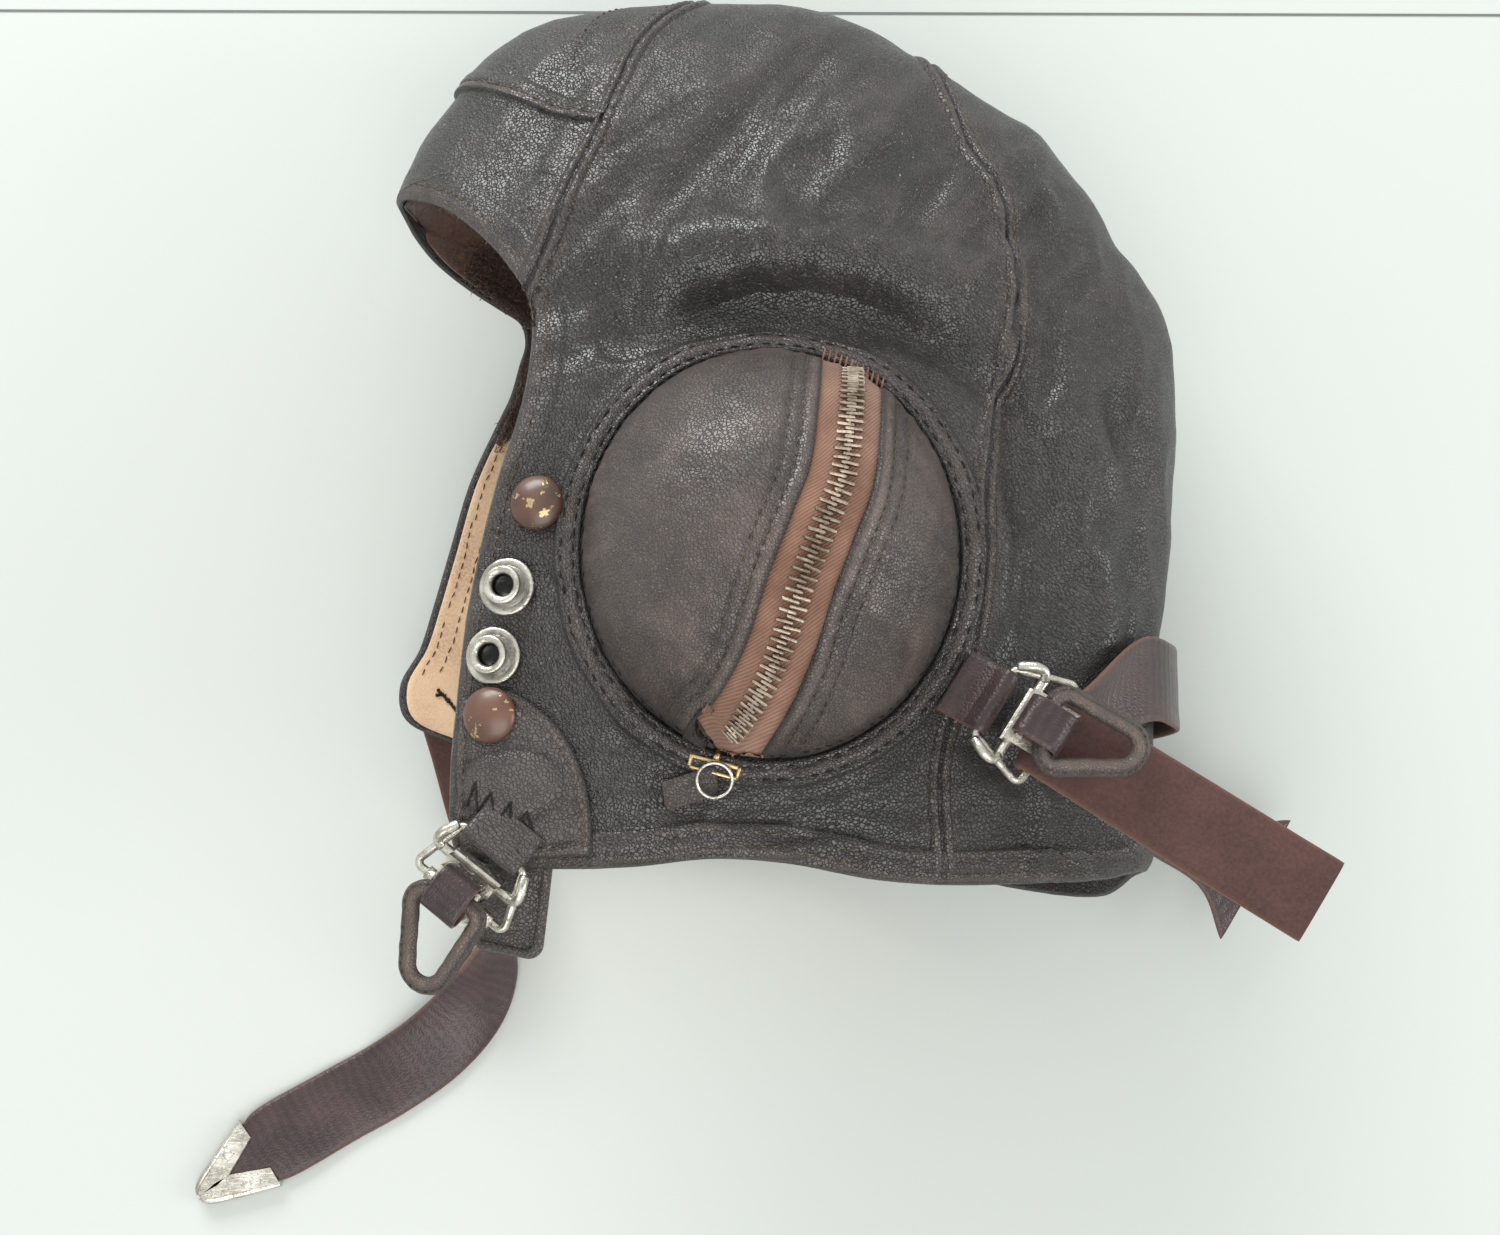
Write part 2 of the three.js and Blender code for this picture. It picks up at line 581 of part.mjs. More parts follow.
function pocketSheet(side, steps, rings) {
  const rows = [];
  for (let i = 0; i < steps; i += 1) {
    const turn = (-360 * i) / steps;
    const row = [];
    for (let j = 1; j <= rings; j += 1) {
      const t = j / rings;
      const out = side === 'left' ? Math.sin((t * Math.PI) / 2) : [pressedFlat, 0.84, 0.94, 1][j - 1];
      row.push(pocketPoint(side, turn, out));
    }
    if (side === 'left') row.push(row.at(-1).clone().setZ(row.at(-1).z - leatherWall + layerGap));
    rows.push(row);
  }
  const columns = rows[0].length;
  const points = [pocketPoint(side, 0, 0), ...rows.flat()];
  const faces = [];
  for (let i = 0; i < steps; i += 1) {
    const here = 1 + i * columns;
    const next = 1 + ((i + 1) % steps) * columns;
    faces.push([0, next, here]);
    for (let j = 0; j + 1 < columns; j += 1) {
      faces.push([here + j, next + j, next + j + 1], [here + j, next + j + 1, here + j + 1]);
    }
  }
  if (side === 'right') faces.forEach((face) => face.reverse());
  return { points, faces };
}

// Line of the zip over the pocket, as shares of the pocket's half sizes
const zipLine = [
  [0.55, 1.35], [0.45, 0.953], [0.415, 0.665], [0.35, 0.204], [0.25, -0.04], [0.14, -0.3], [0.04, -0.57],
  [-0.06, -0.75], [-0.2, -0.91], [-0.29, -0.963], [-0.5, -1.25],
];

function addPocket(side) {
  const steps = side === 'left' ? 22 : 16;
  const rings = side === 'left' ? 5 : 4;
  const line = smoothLine(zipLine.map(([x, y]) => [x * pocketHalfLength, y * pocketHalfHeight]), 11);
  const sheet = pocketSheet(side, steps, rings);
  const sunk = side === 'left' ? layerGap : pocketWall + layerGap;
  const teethTop = side === 'left' ? teethHeight : -layerGap;
  const halves = toSolid(thickSheet(sheet, 0, -pocketWall));
  const zipBand = toSolid(prism(bandOutline(line, tapeWidth)));
  const tapeBand = toSolid(prism(bandOutline(line, tapeWidth - 2 * layerGap)));
  const teethBand = toSolid(prism(bandOutline(line, teethWidth)));
  const frontSide = toSolid(prism([...line, [-farOut, line.at(-1)[1]], [-farOut, line[0][1]]]));
  const within = new THREE.CylinderGeometry(1, 1, 4 * farOut, 24).rotateX(Math.PI / 2)
    .scale(pocketHalfLength * 0.92, pocketHalfHeight * 0.92, 1);
  const open = halves.subtract(zipBand);
  add(helmet, `${side}_pocket_front`, toGeometry(largest(open.intersect(frontSide))), pocketLeather);
  add(helmet, `${side}_pocket_rear`, toGeometry(largest(open.subtract(frontSide))), pocketLeather);
  let tape = toSolid(thickSheet(sheet, -sunk, -sunk - tapeWall)).intersect(tapeBand);
  if (side === 'right') tape = tape.intersect(toSolid(within));
  add(helmet, `${side}_zip_tape`, toGeometry(largest(tape)), twill);
  const teethLow = -sunk + layerGap;
  const teeth = toSolid(thickSheet(sheet, teethTop, teethLow)).intersect(teethBand);
  add(helmet, `${side}_zip_teeth`, toGeometry(largest(teeth.intersect(toSolid(within)))), agedBrass);
}

// Slider, split ring and leather tab at the lower end of the left zip
const zipEndTurn = -106.5;
function rimPoint(away) {
  const [x, y] = [Math.cos(rad(zipEndTurn)), Math.sin(rad(zipEndTurn))];
  return [x * (pocketHalfLength + away), y * (pocketHalfHeight + away)];
}

// Closed ring of round section round a flat loop of points in the XY plane.
function wireRing(loop, radius, sides = 6) {
  const points = [];
  const faces = [];
  loop.forEach(([x, y], i) => {
    const [px, py] = loop[(i + loop.length - 1) % loop.length];
    const [nx, ny] = loop[(i + 1) % loop.length];
    const size = Math.hypot(nx - px, ny - py);
    for (let k = 0; k < sides; k += 1) {
      const angle = (2 * Math.PI * (k + 0.5)) / sides;
      const aside = Math.cos(angle) * radius;
      points.push(vec(x + ((ny - py) / size) * aside, y - ((nx - px) / size) * aside, Math.sin(angle) * radius));
    }
    const next = (i + 1) % loop.length;
    for (let k = 0; k < sides; k += 1) {
      const after = (k + 1) % sides;
      faces.push([i * sides + k, next * sides + after, next * sides + k]);
      faces.push([i * sides + k, i * sides + after, next * sides + after]);
    }
  });
  return solidGeometry(points, faces.map((face) => [...face].reverse()));
}

function circleLoop(radius, count) {
  return Array.from({ length: count }, (_, i) => {
    const angle = (2 * Math.PI * i) / count;
    return [Math.cos(angle) * radius, Math.sin(angle) * radius];
  });
}

// Loop round a row of circles given counterclockwise, joined by straight runs.
function hullLoop(circles, steps) {
  const loop = [];
  const count = circles.length;
  const outward = (a, b) => {
    const size = Math.hypot(b.x - a.x, b.y - a.y);
    return Math.atan2(b.y - a.y, b.x - a.x) - Math.acos((a.r - b.r) / size);
  };
  circles.forEach((circle, i) => {
    const start = outward(circles[(i + count - 1) % count], circle);
    let end = outward(circle, circles[(i + 1) % count]);
    while (end < start) end += 2 * Math.PI;
    for (let k = 0; k <= steps; k += 1) {
      const angle = lerp(start, end, k / steps);
      loop.push([circle.x + Math.cos(angle) * circle.r, circle.y + Math.sin(angle) * circle.r]);
    }
  });
  return loop;
}

function roundedPlate(outline, wall) {
  const shape = new THREE.Shape(outline.map(([x, y]) => new THREE.Vector2(x, y)));
  return new THREE.ExtrudeGeometry(shape, { depth: wall, bevelEnabled: false });
}

const tabWallOnPull = 1;
function addSlider() {
  const [x, y] = rimPoint(sliderLength / 2 + pocketRimGap * 2);
  const seat = seatGroup('left', x, y, layerGap, zipEndTurn + 90);
  helmet.add(seat);
  const corner = 1.2;
  const body = hullLoop([
    { x: -sliderWidth / 2 + corner, y: -sliderLength / 2 + corner, r: corner },
    { x: sliderWidth / 2 - corner, y: -sliderLength / 2 + corner, r: corner },
    { x: sliderWidth / 2 - corner, y: sliderLength / 2 - corner, r: corner },
    { x: -sliderWidth / 2 + corner, y: sliderLength / 2 - corner, r: corner },
  ], 2);
  add(seat, 'left_zip_slider', roundedPlate(body, sliderHeight), agedBrass);
  const [ringX, ringY] = rimPoint(sliderLength + pocketRimGap * 2 + pullRingRadius + pullWire + layerGap);
  const ringSeat = seatGroup('left', ringX, ringY, pullWire + tabWallOnPull + 3 * layerGap, 22,
    2 * pullTabLength, pullTabWidth);
  helmet.add(ringSeat);
  add(ringSeat, 'slider_ring', wireRing(circleLoop(pullRingRadius, 12), pullWire, 5), nickel);
  const half = pullTabWidth / 2;
  const tab = hullLoop([
    { x: -pullTabLength + 3, y: -half * 0.4, r: 2.2 }, { x: -2, y: -half + 2, r: 2 },
    { x: 0, y: half - 2, r: 2 }, { x: -pullTabLength + 2, y: half * 0.7, r: 1.4 },
  ], 2);
  const tabSeat = seatGroup('left', ringX, ringY, layerGap, 22, 2 * pullTabLength, pullTabWidth);
  helmet.add(tabSeat);
  add(tabSeat, 'slider_tab', roundedPlate(tab, tabWallOnPull), pocketLeather);
}

// Press fasteners down the cheek edge, in plan as shares of earToCrown. Layers counts the
// chin patch where one sits on it.
const fastenerRows = [
  { name: 'snap_cap_upper', kind: 'cap', layers: 0, leftX: -0.352, leftY: 0.075, rightX: -0.463, rightY: 0.222 },
  { name: 'stud_upper', kind: 'stud', layers: 0, leftX: -0.396, leftY: -0.051, rightX: -0.5, rightY: 0.105 },
  { name: 'stud_lower', kind: 'stud', layers: 0, leftX: -0.415, leftY: -0.155, rightX: -0.525, rightY: 0.006 },
  { name: 'snap_cap_lower', kind: 'cap', layers: 1, leftX: -0.416, leftY: -0.244, rightX: -0.543, rightY: -0.08 },
];

function lathe(profile, segments) {
  const points = profile.map(([x, y]) => new THREE.Vector2(x, y));
  return new THREE.LatheGeometry(points, segments).rotateX(Math.PI / 2);
}

function addFastener(side, row) {
  const x = row[`${side}X`] * earToCrown;
  const y = row[`${side}Y`] * earToCrown;
  const patch = side === 'left' ? row.layers * (patchWall + layerGap) : 0;
  const seat = seatGroup(side, x, y, layerGap + patch, 0);
  helmet.add(seat);
  const name = `${side}_${row.name}`;
  if (row.kind === 'cap') {
    const radius = capDiameter / 2;
    const profile = [[0, 0], [radius * 0.9, 0], [radius, capHeight * 0.3], [radius * 0.85, capHeight * 0.68],
      [radius * 0.5, capHeight * 0.93], [0, capHeight]];
    add(seat, name, lathe(profile, 10), lacquer);
    return;
  }
  const [flange, post, bore] = [studDiameter / 2, studPostDiameter / 2, studPostBore / 2];
  const rim = studHeight * 0.28;
  const profile = [[0, 0], [flange, 0], [flange, rim], [post * 0.86, rim], [post * 0.86, studHeight * 0.7],
    [post, studHeight * 0.8], [post, studHeight], [bore, studHeight], [bore, rim * 1.5], [0, rim * 1.5]];
  add(seat, name, lathe(profile, 10), nickel);
}

// Chin patch: a second layer of leather over the corner of the left cheek
const patchOutline = [
  [-0.466, -0.218], [-0.4, -0.208], [-0.382, -0.214], [-0.355, -0.231], [-0.322, -0.259], [-0.298, -0.293],
  [-0.282, -0.327], [-0.272, -0.362], [-0.267, -0.404], [-0.266, -0.45], [-0.36, -0.452], [-0.447, -0.446],
  [-0.466, -0.425], [-0.47, -0.34],
];
// Sheet that follows the shell over a plan rectangle.
function followSheet(side, fromX, toX, fromY, toY, steps) {
  const rows = [];
  for (let i = 0; i <= steps; i += 1) {
    const row = [];
    for (let j = 0; j <= steps; j += 1) {
      row.push(surface(side, lerp(fromX, toX, i / steps), lerp(fromY, toY, j / steps)));
    }
    rows.push(row);
  }
  return gridSheet(rows);
}

function addChinPatch() {
  const outline = scaled(patchOutline);
  const xs = outline.map(([x]) => x);
  const ys = outline.map(([, y]) => y);
  const margin = 2;
  const sheet = followSheet('left', Math.min(...xs) - margin, Math.max(...xs) + margin,
    Math.min(...ys) - margin, Math.max(...ys) + margin, 5);
  const layer = toSolid(thickSheet(sheet, layerGap + patchWall, layerGap));
  add(helmet, 'chin_patch', toGeometry(largest(layer.intersect(toSolid(prism(outline))))), shellLeather);
}

// Buckle parts share one frame: the tab bar lies along X through the origin and the buckle
// hangs toward -Y, with +Z away from the helmet.
const plateLow = 2 * (wireRadius + layerGap) - wireRadius + strapWall + layerGap;
const ringLevel = plateLow + leverWall + layerGap + loopWall + layerGap + ringTube;
const eyeRadius = 0.8;
const eyeReach = pivotReach + 1.2;
const ringReach = pivotReach + 6;

function barAlongX(radius, length, sides = 10) {
  return new THREE.CylinderGeometry(radius, radius, length, sides).rotateZ(Math.PI / 2);
}

// Extrusion along X of an outline in the YZ plane, centred on X.
function extrudeAlongX(shape, width) {
  const geometry = new THREE.ExtrudeGeometry(shape, { depth: width, bevelEnabled: false, curveSegments: 3 });
  geometry.translate(0, 0, -width / 2);
  return geometry.applyMatrix4(new THREE.Matrix4().makeBasis(vec(0, 1, 0), vec(0, 0, 1), vec(1, 0, 0)));
}

// Leather tab folded round the bar, its sewn end lower than the bar by drop.
const tabDepth = wireRadius + pinGap + tabWall;
function buckleTab(length, drop) {
  const bore = wireRadius + pinGap;
  const outer = tabDepth;
  const top = -outer + 2 * tabWall;
  const turn = Math.asin(top / outer);
  const shape = new THREE.Shape();
  shape.moveTo(length, -outer - drop);
  shape.lineTo(length, top - drop);
  shape.lineTo(Math.cos(turn) * outer, top);
  shape.absarc(0, 0, outer, turn, 1.5 * Math.PI, false);
  shape.closePath();
  const hole = new THREE.Path();
  hole.absarc(0, 0, bore, 0, 2 * Math.PI, true);
  shape.holes.push(hole);
  return extrudeAlongX(shape, tabWidth);
}

function buckleFrame() {
  const near = tabWidth / 2 + 0.5 + wireRadius;
  const far = strapWidth / 2 + strapRoom + wireRadius;
  const bend = 1.6;
  const loop = hullLoop([
    { x: near - bend, y: -bend, r: bend }, { x: -near + bend, y: -bend, r: bend },
    { x: -far + bend, y: -frameReach + bend, r: bend }, { x: far - bend, y: -frameReach + bend, r: bend },
  ], 2);
  const pivotLength = 2 * lerp(near, far, pivotReach / frameReach);
  const pivot = barAlongX(wireRadius * 0.95, pivotLength, 6).translate(0, -pivotReach, 0);
  return join([wireRing(loop, wireRadius), pivot]);
}

function buckleLever() {
  const bore = wireRadius + pinGap;
  const knuckle = barAlongX(bore + leverWall, leverWidth, 8);
  const web = new THREE.BoxGeometry(leverWidth, 2.6, plateLow + leverWall);
  web.translate(0, 0, (plateLow + leverWall) / 2);
  const outline = [[-leverWidth / 2, 1], [-leverWidth / 2, -leverLength]];
  for (let i = 1; i < 2 * leverTeeth; i += 1) {
    const x = lerp(-leverWidth / 2, leverWidth / 2, i / (2 * leverTeeth));
    outline.push([x, -leverLength + (i % 2 ? 0.9 : 0)]);
  }
  outline.push([leverWidth / 2, -leverLength], [leverWidth / 2, 1]);
  const plate = roundedPlate(outline, leverWall).translate(0, 0, plateLow);
  const posts = [-1, 1].map((hand) => {
    const post = new THREE.BoxGeometry(1, 1.6, ringLevel - plateLow + eyeRadius);
    const x = hand * (loopWidth / 2 + layerGap + 0.5);
    return post.translate(x, pivotReach - eyeReach, (ringLevel + plateLow + eyeRadius) / 2);
  });
  const eye = barAlongX(eyeRadius, loopWidth + 2 * layerGap + 1.8, 6).translate(0, pivotReach - eyeReach, ringLevel);
  const body = join([knuckle, web, plate, ...posts, eye]);
  return subtract(body, barAlongX(bore, leverWidth + 2, 8)).translate(0, -pivotReach, 0);
}

function buckleLoop() {
  const inner = ringTube + layerGap;
  const outer = inner + loopWall;
  const near = -eyeReach + eyeRadius + pinGap - inner;
  const far = -ringReach - Math.sin(rad(ringSkew)) * loopWidth * 0.5 - layerGap;
  const stadium = (target, radius, clockwise) => {
    target.absarc(near, 0, radius, -Math.PI / 2, Math.PI / 2, clockwise);
    target.absarc(far, 0, radius, Math.PI / 2, (3 * Math.PI) / 2, clockwise);
    return target;
  };
  const shape = stadium(new THREE.Shape(), outer, false);
  shape.closePath();
  shape.holes.push(stadium(new THREE.Path(), inner, false));
  return extrudeAlongX(shape, loopWidth).translate(0, 0, ringLevel);
}

function buckleRing() {
  const corner = 3.2;
  const nose = 4.6;
  const half = ringWidth / 2 - ringTube;
  const loop = hullLoop([
    { x: half - corner, y: -corner, r: corner },
    { x: -half + corner, y: -corner, r: corner },
    { x: 0, y: -ringLength + 2 * ringTube + nose, r: nose },
  ], 3);
  return wireRing(loop, ringTube, 6);
}

// One buckle under a seat at the middle of its tab. Returns the buckle's own frame.
function addBuckle(seat, prefix, leverName, tabReach, drop = 0) {
  const hang = new THREE.Group();
  hang.position.y = -tabReach / 2;
  seat.add(hang);
  add(hang, `${prefix}_tab`, buckleTab(tabReach, drop), strapLeather);
  add(hang, `${prefix}_frame`, buckleFrame(), nickel);
  add(hang, `${prefix}_${leverName}`, buckleLever(), nickel);
  add(hang, `${prefix}_loop`, buckleLoop(), strapLeather);
  const ring = add(hang, `${prefix}_ring`, buckleRing(), pocketLeather);
  ring.position.set(0, -ringReach, ringLevel);
  ring.rotation.z = rad(ringSkew);
  hang.updateMatrixWorld(true);
  return hang;
}

const chinSpot = [-0.379, -0.4025];
const chinTurn = -37;
const guardSpot = [-0.404, -0.452];
function addChinBuckle() {
  const [x, y] = chinSpot.map((share) => share * earToCrown);
  const lift = layerGap + patchWall + layerGap + tabDepth;
  const seat = seatGroup('left', x, y, lift, chinTurn, tabWidth, tabLength);
  helmet.add(seat);
  addBuckle(seat, 'chin', 'lever', tabLength);
  const [guardX, guardY] = guardSpot.map((share) => share * earToCrown);
  const guardSeat = seatGroup('left', guardX, guardY, -leatherWall - 3 * layerGap - patchWall, -8);
  helmet.add(guardSeat);
  const round = 4;
  const outline = hullLoop([
    { x: guardWidth * 0.52 - round, y: -guardLength + round, r: round },
    { x: guardWidth * 0.52 - round, y: -2, r: 1.5 },
    { x: -guardWidth * 0.48 + 1.5, y: -2, r: 1.5 },
    { x: -guardWidth * 0.48 + 1.5, y: -guardLength * 0.55, r: 1.5 },
    { x: -guardWidth * 0.12, y: -guardLength + 2.5, r: 2.5 },
  ], 3);
  add(guardSeat, 'guard_tab', roundedPlate(outline, patchWall), shellLeather);
}

// Straps: rows give the middle line, the half-width vector's direction and the width
function strapGeometry(rows, wall) {
  const grid = rows.map((row) => {
    const reach = (row.width ?? strapWidth) / 2;
    return [-1, 0, 1].map((hand) => row.centre.clone().addScaledVector(row.across, hand * reach));
  });
  return thickSheet(gridSheet(grid), wall / 2, -wall / 2);
}

// Chin strap from the corner of the right cheek flap down and round to the tip, in plan as
// shares of earToCrown. It lies flesh side up at first and rolls over to grain side up.
const chinStrapRows = [
  { x: -0.552, y: -0.172, level: 1, roll: 180 },
  { x: -0.533, y: -0.235, level: 0.8, roll: 180 },
  { x: -0.512, y: -0.32, level: 0.5, roll: 172 },
  { x: -0.49, y: -0.41, level: 0, roll: 150 },
  { x: -0.473, y: -0.49, level: 0, roll: 115 },
  { x: -0.468, y: -0.56, level: 0, roll: 80 },
  { x: -0.482, y: -0.625, level: 0, roll: 52 },
  { x: -0.52, y: -0.69, level: 0, roll: 28 },
  { x: -0.585, y: -0.755, level: 0, roll: 10 },
  { x: -0.665, y: -0.81, level: 0, roll: 0 },
  { x: -0.75, y: -0.857, level: 0, roll: 0 },
  { x: -0.86, y: -0.92, level: 0, roll: 0 },
];
const tipAt = [-0.985, -1.009];

function addChinStrap() {
  const line = chinStrapRows.map((row) => vec(row.x * earToCrown, row.y * earToCrown, 0));
  const tip = vec(tipAt[0] * earToCrown, tipAt[1] * earToCrown, 0);
  const last = line.at(-1);
  const ahead = tip.clone().sub(last).normalize();
  const lying = strapWall / 2 + 0.25;
  const rest = lying + tipWall + layerGap;
  const rows = chinStrapRows.map((row, i) => {
    const before = line[Math.max(i - 1, 0)];
    const after = line[Math.min(i + 1, line.length - 1)];
    const along = i === line.length - 1 ? ahead : after.clone().sub(before).normalize();
    const side = vec(along.y, -along.x, 0);
    const across = side.multiplyScalar(Math.cos(rad(row.roll))).add(vec(0, 0, Math.sin(rad(row.roll))));
    const reach = across.clone().setLength(strapWidth / 2);
    const flap = [-1, 0, 1].map((hand) => line[i].clone().addScaledVector(reach, hand))
      .map((spot) => surface('right', spot.x, spot.y).z);
    const under = Math.min(...flap) - 2 * layerGap - strapWall / 2;
    const base = i === line.length - 1 ? rest : lying;
    const stand = base + Math.abs(Math.sin(rad(row.roll))) * strapWidth * 0.5;
    return { centre: line[i].clone().setZ(Math.max(lerp(base, under, row.level), stand)), across };
  });
  const side = vec(ahead.y, -ahead.x, 0);
  const total = tip.distanceTo(last);
  const nose = 2.4;
  const tipHalf = (back) => lerp(nose, strapWidth / 2, (back - nose) / (tipLength - nose));
  const grip = tipWall + layerGap;
  for (const back of [tipLength, tipLength * 0.7, tipLength * 0.4, nose]) {
    const centre = last.clone().addScaledVector(ahead, total - back).setZ(rest);
    rows.push({ centre, across: side, width: 2 * (tipHalf(back) - grip - layerGap) });
  }
  rows.forEach((row) => row.across.normalize());
  add(helmet, 'chin_strap', strapGeometry(rows, strapWall), strapLeather);

  // Metal V: a flat pocket that grips both edges of the pointed end
  const seat = new THREE.Group();
  seat.position.copy(tip);
  seat.rotation.z = Math.atan2(-ahead.y, -ahead.x);
  helmet.add(seat);
  const half = strapWidth / 2;
  const outer = hullLoop([{ x: nose, y: 0, r: nose }, { x: tipLength, y: -half + 0.4, r: 0.4 },
    { x: tipLength, y: half - 0.4, r: 0.4 }], 3);
  const height = strapWall + 2 * tipWall + 2 * layerGap;
  const body = roundedPlate(outer, height);
  const notch = roundedPlate([[tipLeg * 1.7, 0], [tipLength + 9, -half], [tipLength + 9, half]], height + 4);
  const inside = (back) => tipHalf(back) - grip;
  const mouth = tipLength * 1.3;
  const room = roundedPlate([[nose / 2, -inside(nose / 2)], [mouth, -inside(mouth)],
    [mouth, inside(mouth)], [nose / 2, inside(nose / 2)]], strapWall + 2 * layerGap);
  notch.translate(0, 0, -2);
  room.translate(0, 0, tipWall);
  const solid = toSolid(body).subtract(toSolid(notch)).subtract(toSolid(room));
  const lift = rest - height / 2;
  add(seat, 'strap_tip', toGeometry(largest(solid)).translate(0, 0, lift), nickel);
}

// Nape: a buckle on each side and one strap round the nape through both of them
const napeSpots = {
  left: { x: 0.3, y: -0.2135, tilt: 0, end: 0.3 },
  right: { x: 0.306, y: -0.112, tilt: 0.6, end: -0.3 },
};
const napeRise = 0.5;          // air under the nape buckles
const napeTabLength = 10.5;
const tailTurn = -32.5;
const napeY = -0.179;
// Strap round the nape: how far out toward the middle plane, and its lift as a share of napeLift
const napeRows = [
  { side: 'left', out: 0.9, lift: 1 }, { side: 'left', out: 0.97, lift: 1 },
  { side: 'left', out: 1, lift: 1 }, { side: 'right', out: 0.97, lift: 1 },
  { side: 'right', out: 0.9, lift: 1 }, { side: 'right', out: 0.82, lift: 0.9 },
  { side: 'right', out: 0.74, lift: 0.8 },
];
const tailLength = { left: 73, right: 84 };
const flareWidth = 39;
const flareLength = 13;

function napeSeat(side) {
  const spot = napeSpots[side];
  const [x, y] = [spot.x * earToCrown, spot.y * earToCrown];
  const seat = new THREE.Group();
  const zAxis = vec(0, 0, side === 'left' ? 1 : -1).lerp(surfaceNormal(side, x, y), spot.tilt).normalize();
  const ahead = vec(Math.cos(rad(tailTurn)), Math.sin(rad(tailTurn)), 0);
  const xAxis = zAxis.clone().cross(ahead).normalize();
  const yAxis = zAxis.clone().cross(xAxis);
  const foot = surface(side, x, y);
  const bump = bumpUnder(side, foot, [xAxis, yAxis, zAxis], [strapWidth + 2 * strapRoom, 2 * frameReach + 8]);
  seat.position.copy(foot).addScaledVector(zAxis, tabDepth + bump + napeRise);
  seat.quaternion.setFromRotationMatrix(new THREE.Matrix4().makeBasis(xAxis, yAxis, zAxis));
  seat.updateMatrixWorld(true);
  return seat;
}

// How far the sewn end of a nape tab goes down from the level of its bar to lie on the shell.
function tabDrop(side, seat) {
  const normal = vec(0, 0, 1).transformDirection(seat.matrixWorld);
  const room = (along) => Math.min(...[-1, 0, 1].map((hand) => {
    const spot = vec((hand * tabWidth) / 2, along, -tabDepth).applyMatrix4(seat.matrixWorld);
    const outward = surfaceNormal(side, spot.x, spot.y);
    return spot.clone().sub(surface(side, spot.x, spot.y)).dot(outward) / outward.dot(normal);
  }));
  return Math.max(0, Math.min(room(napeTabLength / 2), 2 * room(0)) - layerGap);
}

// Free end of the nape strap, from its tip to the far bar of the buckle and round it.
function tailRows(side, hang) {
  const hand = side === 'left' ? 1 : -1;
  const across = vec(1, 0, 0).transformDirection(hang.matrixWorld).multiplyScalar(hand);
  const fold = wireRadius + layerGap + strapWall / 2;
  const length = tailLength[side] - ringLength;
  const place = (y, z) => vec(0, y, z).applyMatrix4(hang.matrixWorld);
  const start = place(-frameReach - ringLength, fold);
  const ahead = vec(Math.cos(rad(tailTurn)), Math.sin(rad(tailTurn)), 0);
  const level = vec(-ahead.y, ahead.x, 0).multiplyScalar(Math.sign(across.y));
  const rows = [];
  const flareShare = 1 - flareLength / length;
  for (const share of side === 'left' ? [1, 0.66, 0.33] : [1, flareShare, 0.5]) {
    const width = side === 'right' && share === 1 ? flareWidth : strapWidth;
    const centre = start.clone().addScaledVector(ahead, share * length);
    centre.z = lerp(start.z, middle + napeSpots[side].end * earToCrown, share ** 1.5);
    rows.push({ centre, across: across.clone().lerp(level, Math.min(1, share * 1.5)), width });
  }
  rows.push({ centre: start, across }, { centre: place(-frameReach - ringLength * 0.5, fold), across });
  for (const angle of [90, 45, 0, -45, -90]) {
    rows.push({ centre: place(-frameReach + Math.cos(rad(angle)) * fold, Math.sin(rad(angle)) * fold), across });
  }
  return rows;
}

function addNape() {
  const hangs = {};
  for (const side of ['left', 'right']) {
    const seat = napeSeat(side);
    helmet.add(seat);
    hangs[side] = addBuckle(seat, `${side}_nape`, 'cam', napeTabLength, tabDrop(side, seat));
  }
  const start = tailRows('left', hangs.left);
  const end = tailRows('right', hangs.right).reverse();
  const around = [];
  const y = napeY * earToCrown;
  const up = vec(0, 1, 0);
  const atNape = earToCrown * outlineAt(Math.atan2(y, earToCrown * 0.62) / degrees, 'left');
  const outX = Math.sqrt(atNape * atNape - y * y);
  for (const row of napeRows) {
    const spot = surface(row.side, outX * row.out, y);
    const normal = surfaceNormal(row.side, outX * Math.min(row.out, 0.97), y).setY(0).normalize();
    if (row.out === 1) normal.set(1, 0, 0);
    around.push({ centre: spot.addScaledVector(normal, napeLift * row.lift + strapWall / 2), across: up });
  }
  add(helmet, 'nape_strap', strapGeometry([...start, ...around, ...end], strapWall), strapLeather);
}

addPanels();
addLinings();
addPocket('left');
addPocket('right');
addSlider();
for (const side of ['left', 'right']) {
  for (const row of fastenerRows) addFastener(side, row);
}
addChinPatch();
addChinBuckle();
addChinStrap();
addNape();

// Stand the helmet on the surface, centred over the origin.
const group = new THREE.Group();
group.add(helmet);
const box = new THREE.Box3().setFromObject(helmet, true);
helmet.position.set(-(box.min.x + box.max.x) / 2, -(box.min.y + box.max.y) / 2, -box.min.z);
group.updateMatrixWorld(true);

export default group;
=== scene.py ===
import math
import random
import bpy
import numpy as np
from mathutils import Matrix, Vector, noise
from mathutils.bvhtree import BVHTree


